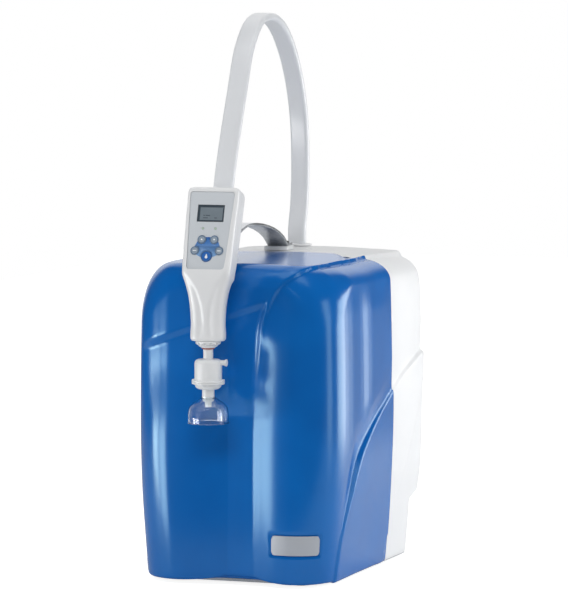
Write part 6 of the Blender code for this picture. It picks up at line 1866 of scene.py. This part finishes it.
@dataclass
class Hose:
    """The flat arched hose with its collar in the top and its socket on the head."""

    handset: Handset
    width: float = 0.029
    thickness: float = 0.011
    samples: int = 220
    rise: float = 0.3395
    side_shares: tuple[float, ...] = (-0.035, 0.101, 0.246, 0.408, 0.608, 0.744, 0.885, 1.004,
                                      1.051, 1.034)
    back_shares: tuple[float, ...] = (0.154, 0.269, 0.389, 0.525, 0.695, 0.809, 0.927, 1.018,
                                      1.047, 1.030)
    rise_shares: tuple[float, ...] = (0.687, 0.887, 0.976, 1.0, 0.963, 0.890, 0.761, 0.576,
                                      0.364, 0.173)
    socket_share: float = 0.07
    socket_length: float = 0.026
    socket_wall: float = 0.0022
    collar_depth: float = 0.024
    top: float = 0.450
    collar_turn_deg: float = -12.0

    def route(self) -> list[Vector]:
        """Return the places that the hose passes, from the socket to the collar."""
        head = self.handset
        face = head.head_matrix()
        back = head.head_depth + CLEARANCE * 2.0 + self.socket_wall + self.thickness / 2.0
        start = face @ Vector((0.0, back, -head.head_length * self.socket_share))
        heading = face.to_3x3() @ Vector((0.0, 0.0, 1.0))
        reach = self.socket_length / 2.0
        end = middle_of("hose_collar")
        points = [start - heading * (reach - self.socket_wall - CLEARANCE), start,
                  start + heading * reach, start + heading * (reach + self.thickness)]
        for side, share, rise in zip(self.side_shares, self.back_shares, self.rise_shares):
            points.append(Vector((start.x + (end.x - start.x) * side,
                                  start.y + (end.y - start.y) * share,
                                  self.top + self.rise * rise)))
        for height in (self.thickness * 2.0, self.thickness, CLEARANCE * 2.0 - self.collar_depth):
            points.append(Vector((end.x, end.y, self.top + height)))
        return points

    def path(self) -> list[Vector]:
        """Return the smooth path through the route, evenly sampled."""
        points = self.route()
        runs = [(after - before).length for before, after in zip(points, points[1:])]
        slopes = [(after - before) / run for before, after, run in zip(points, points[1:], runs)]
        tangents = [slopes[0]]
        for index in range(1, len(points) - 1):
            before, after = runs[index - 1], runs[index]
            tangents.append((slopes[index - 1] * after + slopes[index] * before) / (before + after))
        tangents.append(slopes[-1])
        starts = np.concatenate([[0.0], np.cumsum(runs)])
        curve = []
        for place in np.linspace(0.0, starts[-1], self.samples + 1):
            index = min(int(np.searchsorted(starts, place, side="right")) - 1, len(runs) - 1)
            curve.append(hermite(*points[index:index + 2], *tangents[index:index + 2],
                                 runs[index], (place - starts[index]) / runs[index]))
        return curve

    def build(self) -> None:
        """Make the hose and what holds its ends."""
        path = self.path()
        outline = round_box(self.width, self.thickness, self.thickness * 0.45, 7)
        first, last = math.radians(self.handset.turn_deg), math.radians(self.collar_turn_deg)
        rings = []
        for index, point in enumerate(path):
            tangent = (path[min(index + 1, len(path) - 1)] - path[max(index - 1, 0)]).normalized()
            share = min(max(1.2 * index / self.samples - 0.1, 0.0), 1.0)
            angle = first + (last - first) * share
            normal = tangent.cross(Vector((math.cos(angle), math.sin(angle), 0.0))).normalized()
            side = normal.cross(tangent).normalized()
            rings.append([point + side * a + normal * b for a, b in outline])
        piece = make_piece("arched_hose", lofted(rings), "", "milky_hose")
        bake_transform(piece)
        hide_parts("dispenser_hose")
        soften_node("hose_collar", "hose_grommet", Body.CABINET,
                    "moulded_white_abs", 0.0006)
        soften_node("hose_socket", "hose_clip", Body.HANDSET,
                    "smooth_white_abs", 0.0006)


@dataclass
class Connections:
    """The panel in the rear bay with its hose tails, mains inlet and switch."""

    barb_count: int = 3
    barb_pitch: float = 0.0040
    hexagon: float = 0.0090

    def build(self) -> None:
        """Make all its pieces."""
        soften_node("connection_panel", "bay_panel", Body.CABINET,
                    "powder_coated_grey", 0.0002)
        for node, name, body, bevel in (("power_inlet", "mains_inlet", Body.CABINET, 0.0003),
                                        ("switch_frame", "switch_bezel", Body.CABINET, 0.0004),
                                        ("power_rocker", "rocker", Body.SWITCH, 0.0004)):
            soften_node(node, name, body, "black_nylon", bevel)
        self.build_mark()
        for node in ("feed_fitting", "drain_fitting", "overflow_fitting"):
            self.build_tail(node)

    def build_mark(self) -> None:
        """Make the switch's plain mark."""
        low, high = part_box("power_rocker")
        middle = (low + high) / 2.0
        bar = slab(round_box(0.0009, 0.0040, 0.0003, 2), 0.0, 0.00012, 0.00004)
        place = Matrix.Translation((middle.x, high.y - 0.0002, middle.z + 0.0045))
        make_piece("rocker_mark", bar.moved(place @ Matrix.Rotation(-QUARTER, 4, "X")), Body.SWITCH,
                   "white_print")

    def build_tail(self, node: str) -> None:
        """Make one hose tail with barbs and a hexagon, standing out of the panel.

        Args:
            node: Its CAD node.
        """
        low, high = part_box(node)
        middle = (low + high) / 2.0
        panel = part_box("connection_panel")[1].y
        tip = high.y - panel
        profile = [(0.0018, tip), (0.0036, tip)]
        for index in range(self.barb_count):
            barb = tip - self.barb_pitch * index
            profile += [(0.0036, barb - 0.0002), (0.0046, barb - 0.0026), (0.0046, barb - 0.0031),
                        (0.0037, barb - 0.0034)]
        profile += [(0.0037, 0.0066), (0.0018, 0.0066)]
        corners = rounded([(self.hexagon * math.cos(math.pi / 3.0 * k + math.pi / 6.0),
                            self.hexagon * math.sin(math.pi / 3.0 * k + math.pi / 6.0))
                           for k in range(6)], 0.0010, 2)
        tail = turned(profile, 48)
        tail.place(slab(corners, 0.0003, 0.0064, 0.0005), Matrix())
        stand = Matrix.Translation((middle.x, panel, middle.z)) @ Matrix.Rotation(-QUARTER, 4, "X")
        make_piece(node.replace("fitting", "tail"), tail.moved(stand), Body.CABINET,
                   "blue_acetal", (node,))


# The CAD nodes that are shown as they are, by their finish
WORKS = {
    "brushed_stainless": ("base_tray", "bulkhead", "lamp_housing", "power_supply", "pump_motor",
                          "conductivity_cell"),
    "black_nylon": ("pump_head", "solenoid_valve", "dispense_valve"),
    "solder_mask": ("main_board", "handset_board"),
    "moulded_cartridge": ("cartridge_left", "cartridge_right", "ultrafilter"),
    "blue_polypropylene": ("cartridge_cap_left", "cartridge_cap_right"),
    "grey_polyamide": ("cartridge_clip", "handle_end_plug"),
    "clear_tube": ("cartridge_link_tube",),
    "natural_polypropylene": ("valve_manifold",),
}


def dress_works() -> None:
    """Give the hidden works and the sheet parts, which keep their CAD shape, a finish."""
    for finish, nodes in WORKS.items():
        for node in nodes:
            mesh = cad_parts[node].data
            mesh.materials.clear()
            mesh.materials.append(material(finish))
            LOG.info("%s: dressed in %s", node, finish)


def main() -> None:
    """Build the classes in order."""
    logging.basicConfig(level=logging.INFO, format="%(name)s %(message)s")
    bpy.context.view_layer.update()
    Studio().build()
    Cabinet().build()
    handset = Handset()
    handset.build()
    FinalFilter(handset).build()
    Holder().build()
    Hose(handset).build()
    Connections().build()
    dress_works()


if __name__ == "__main__":
    main()
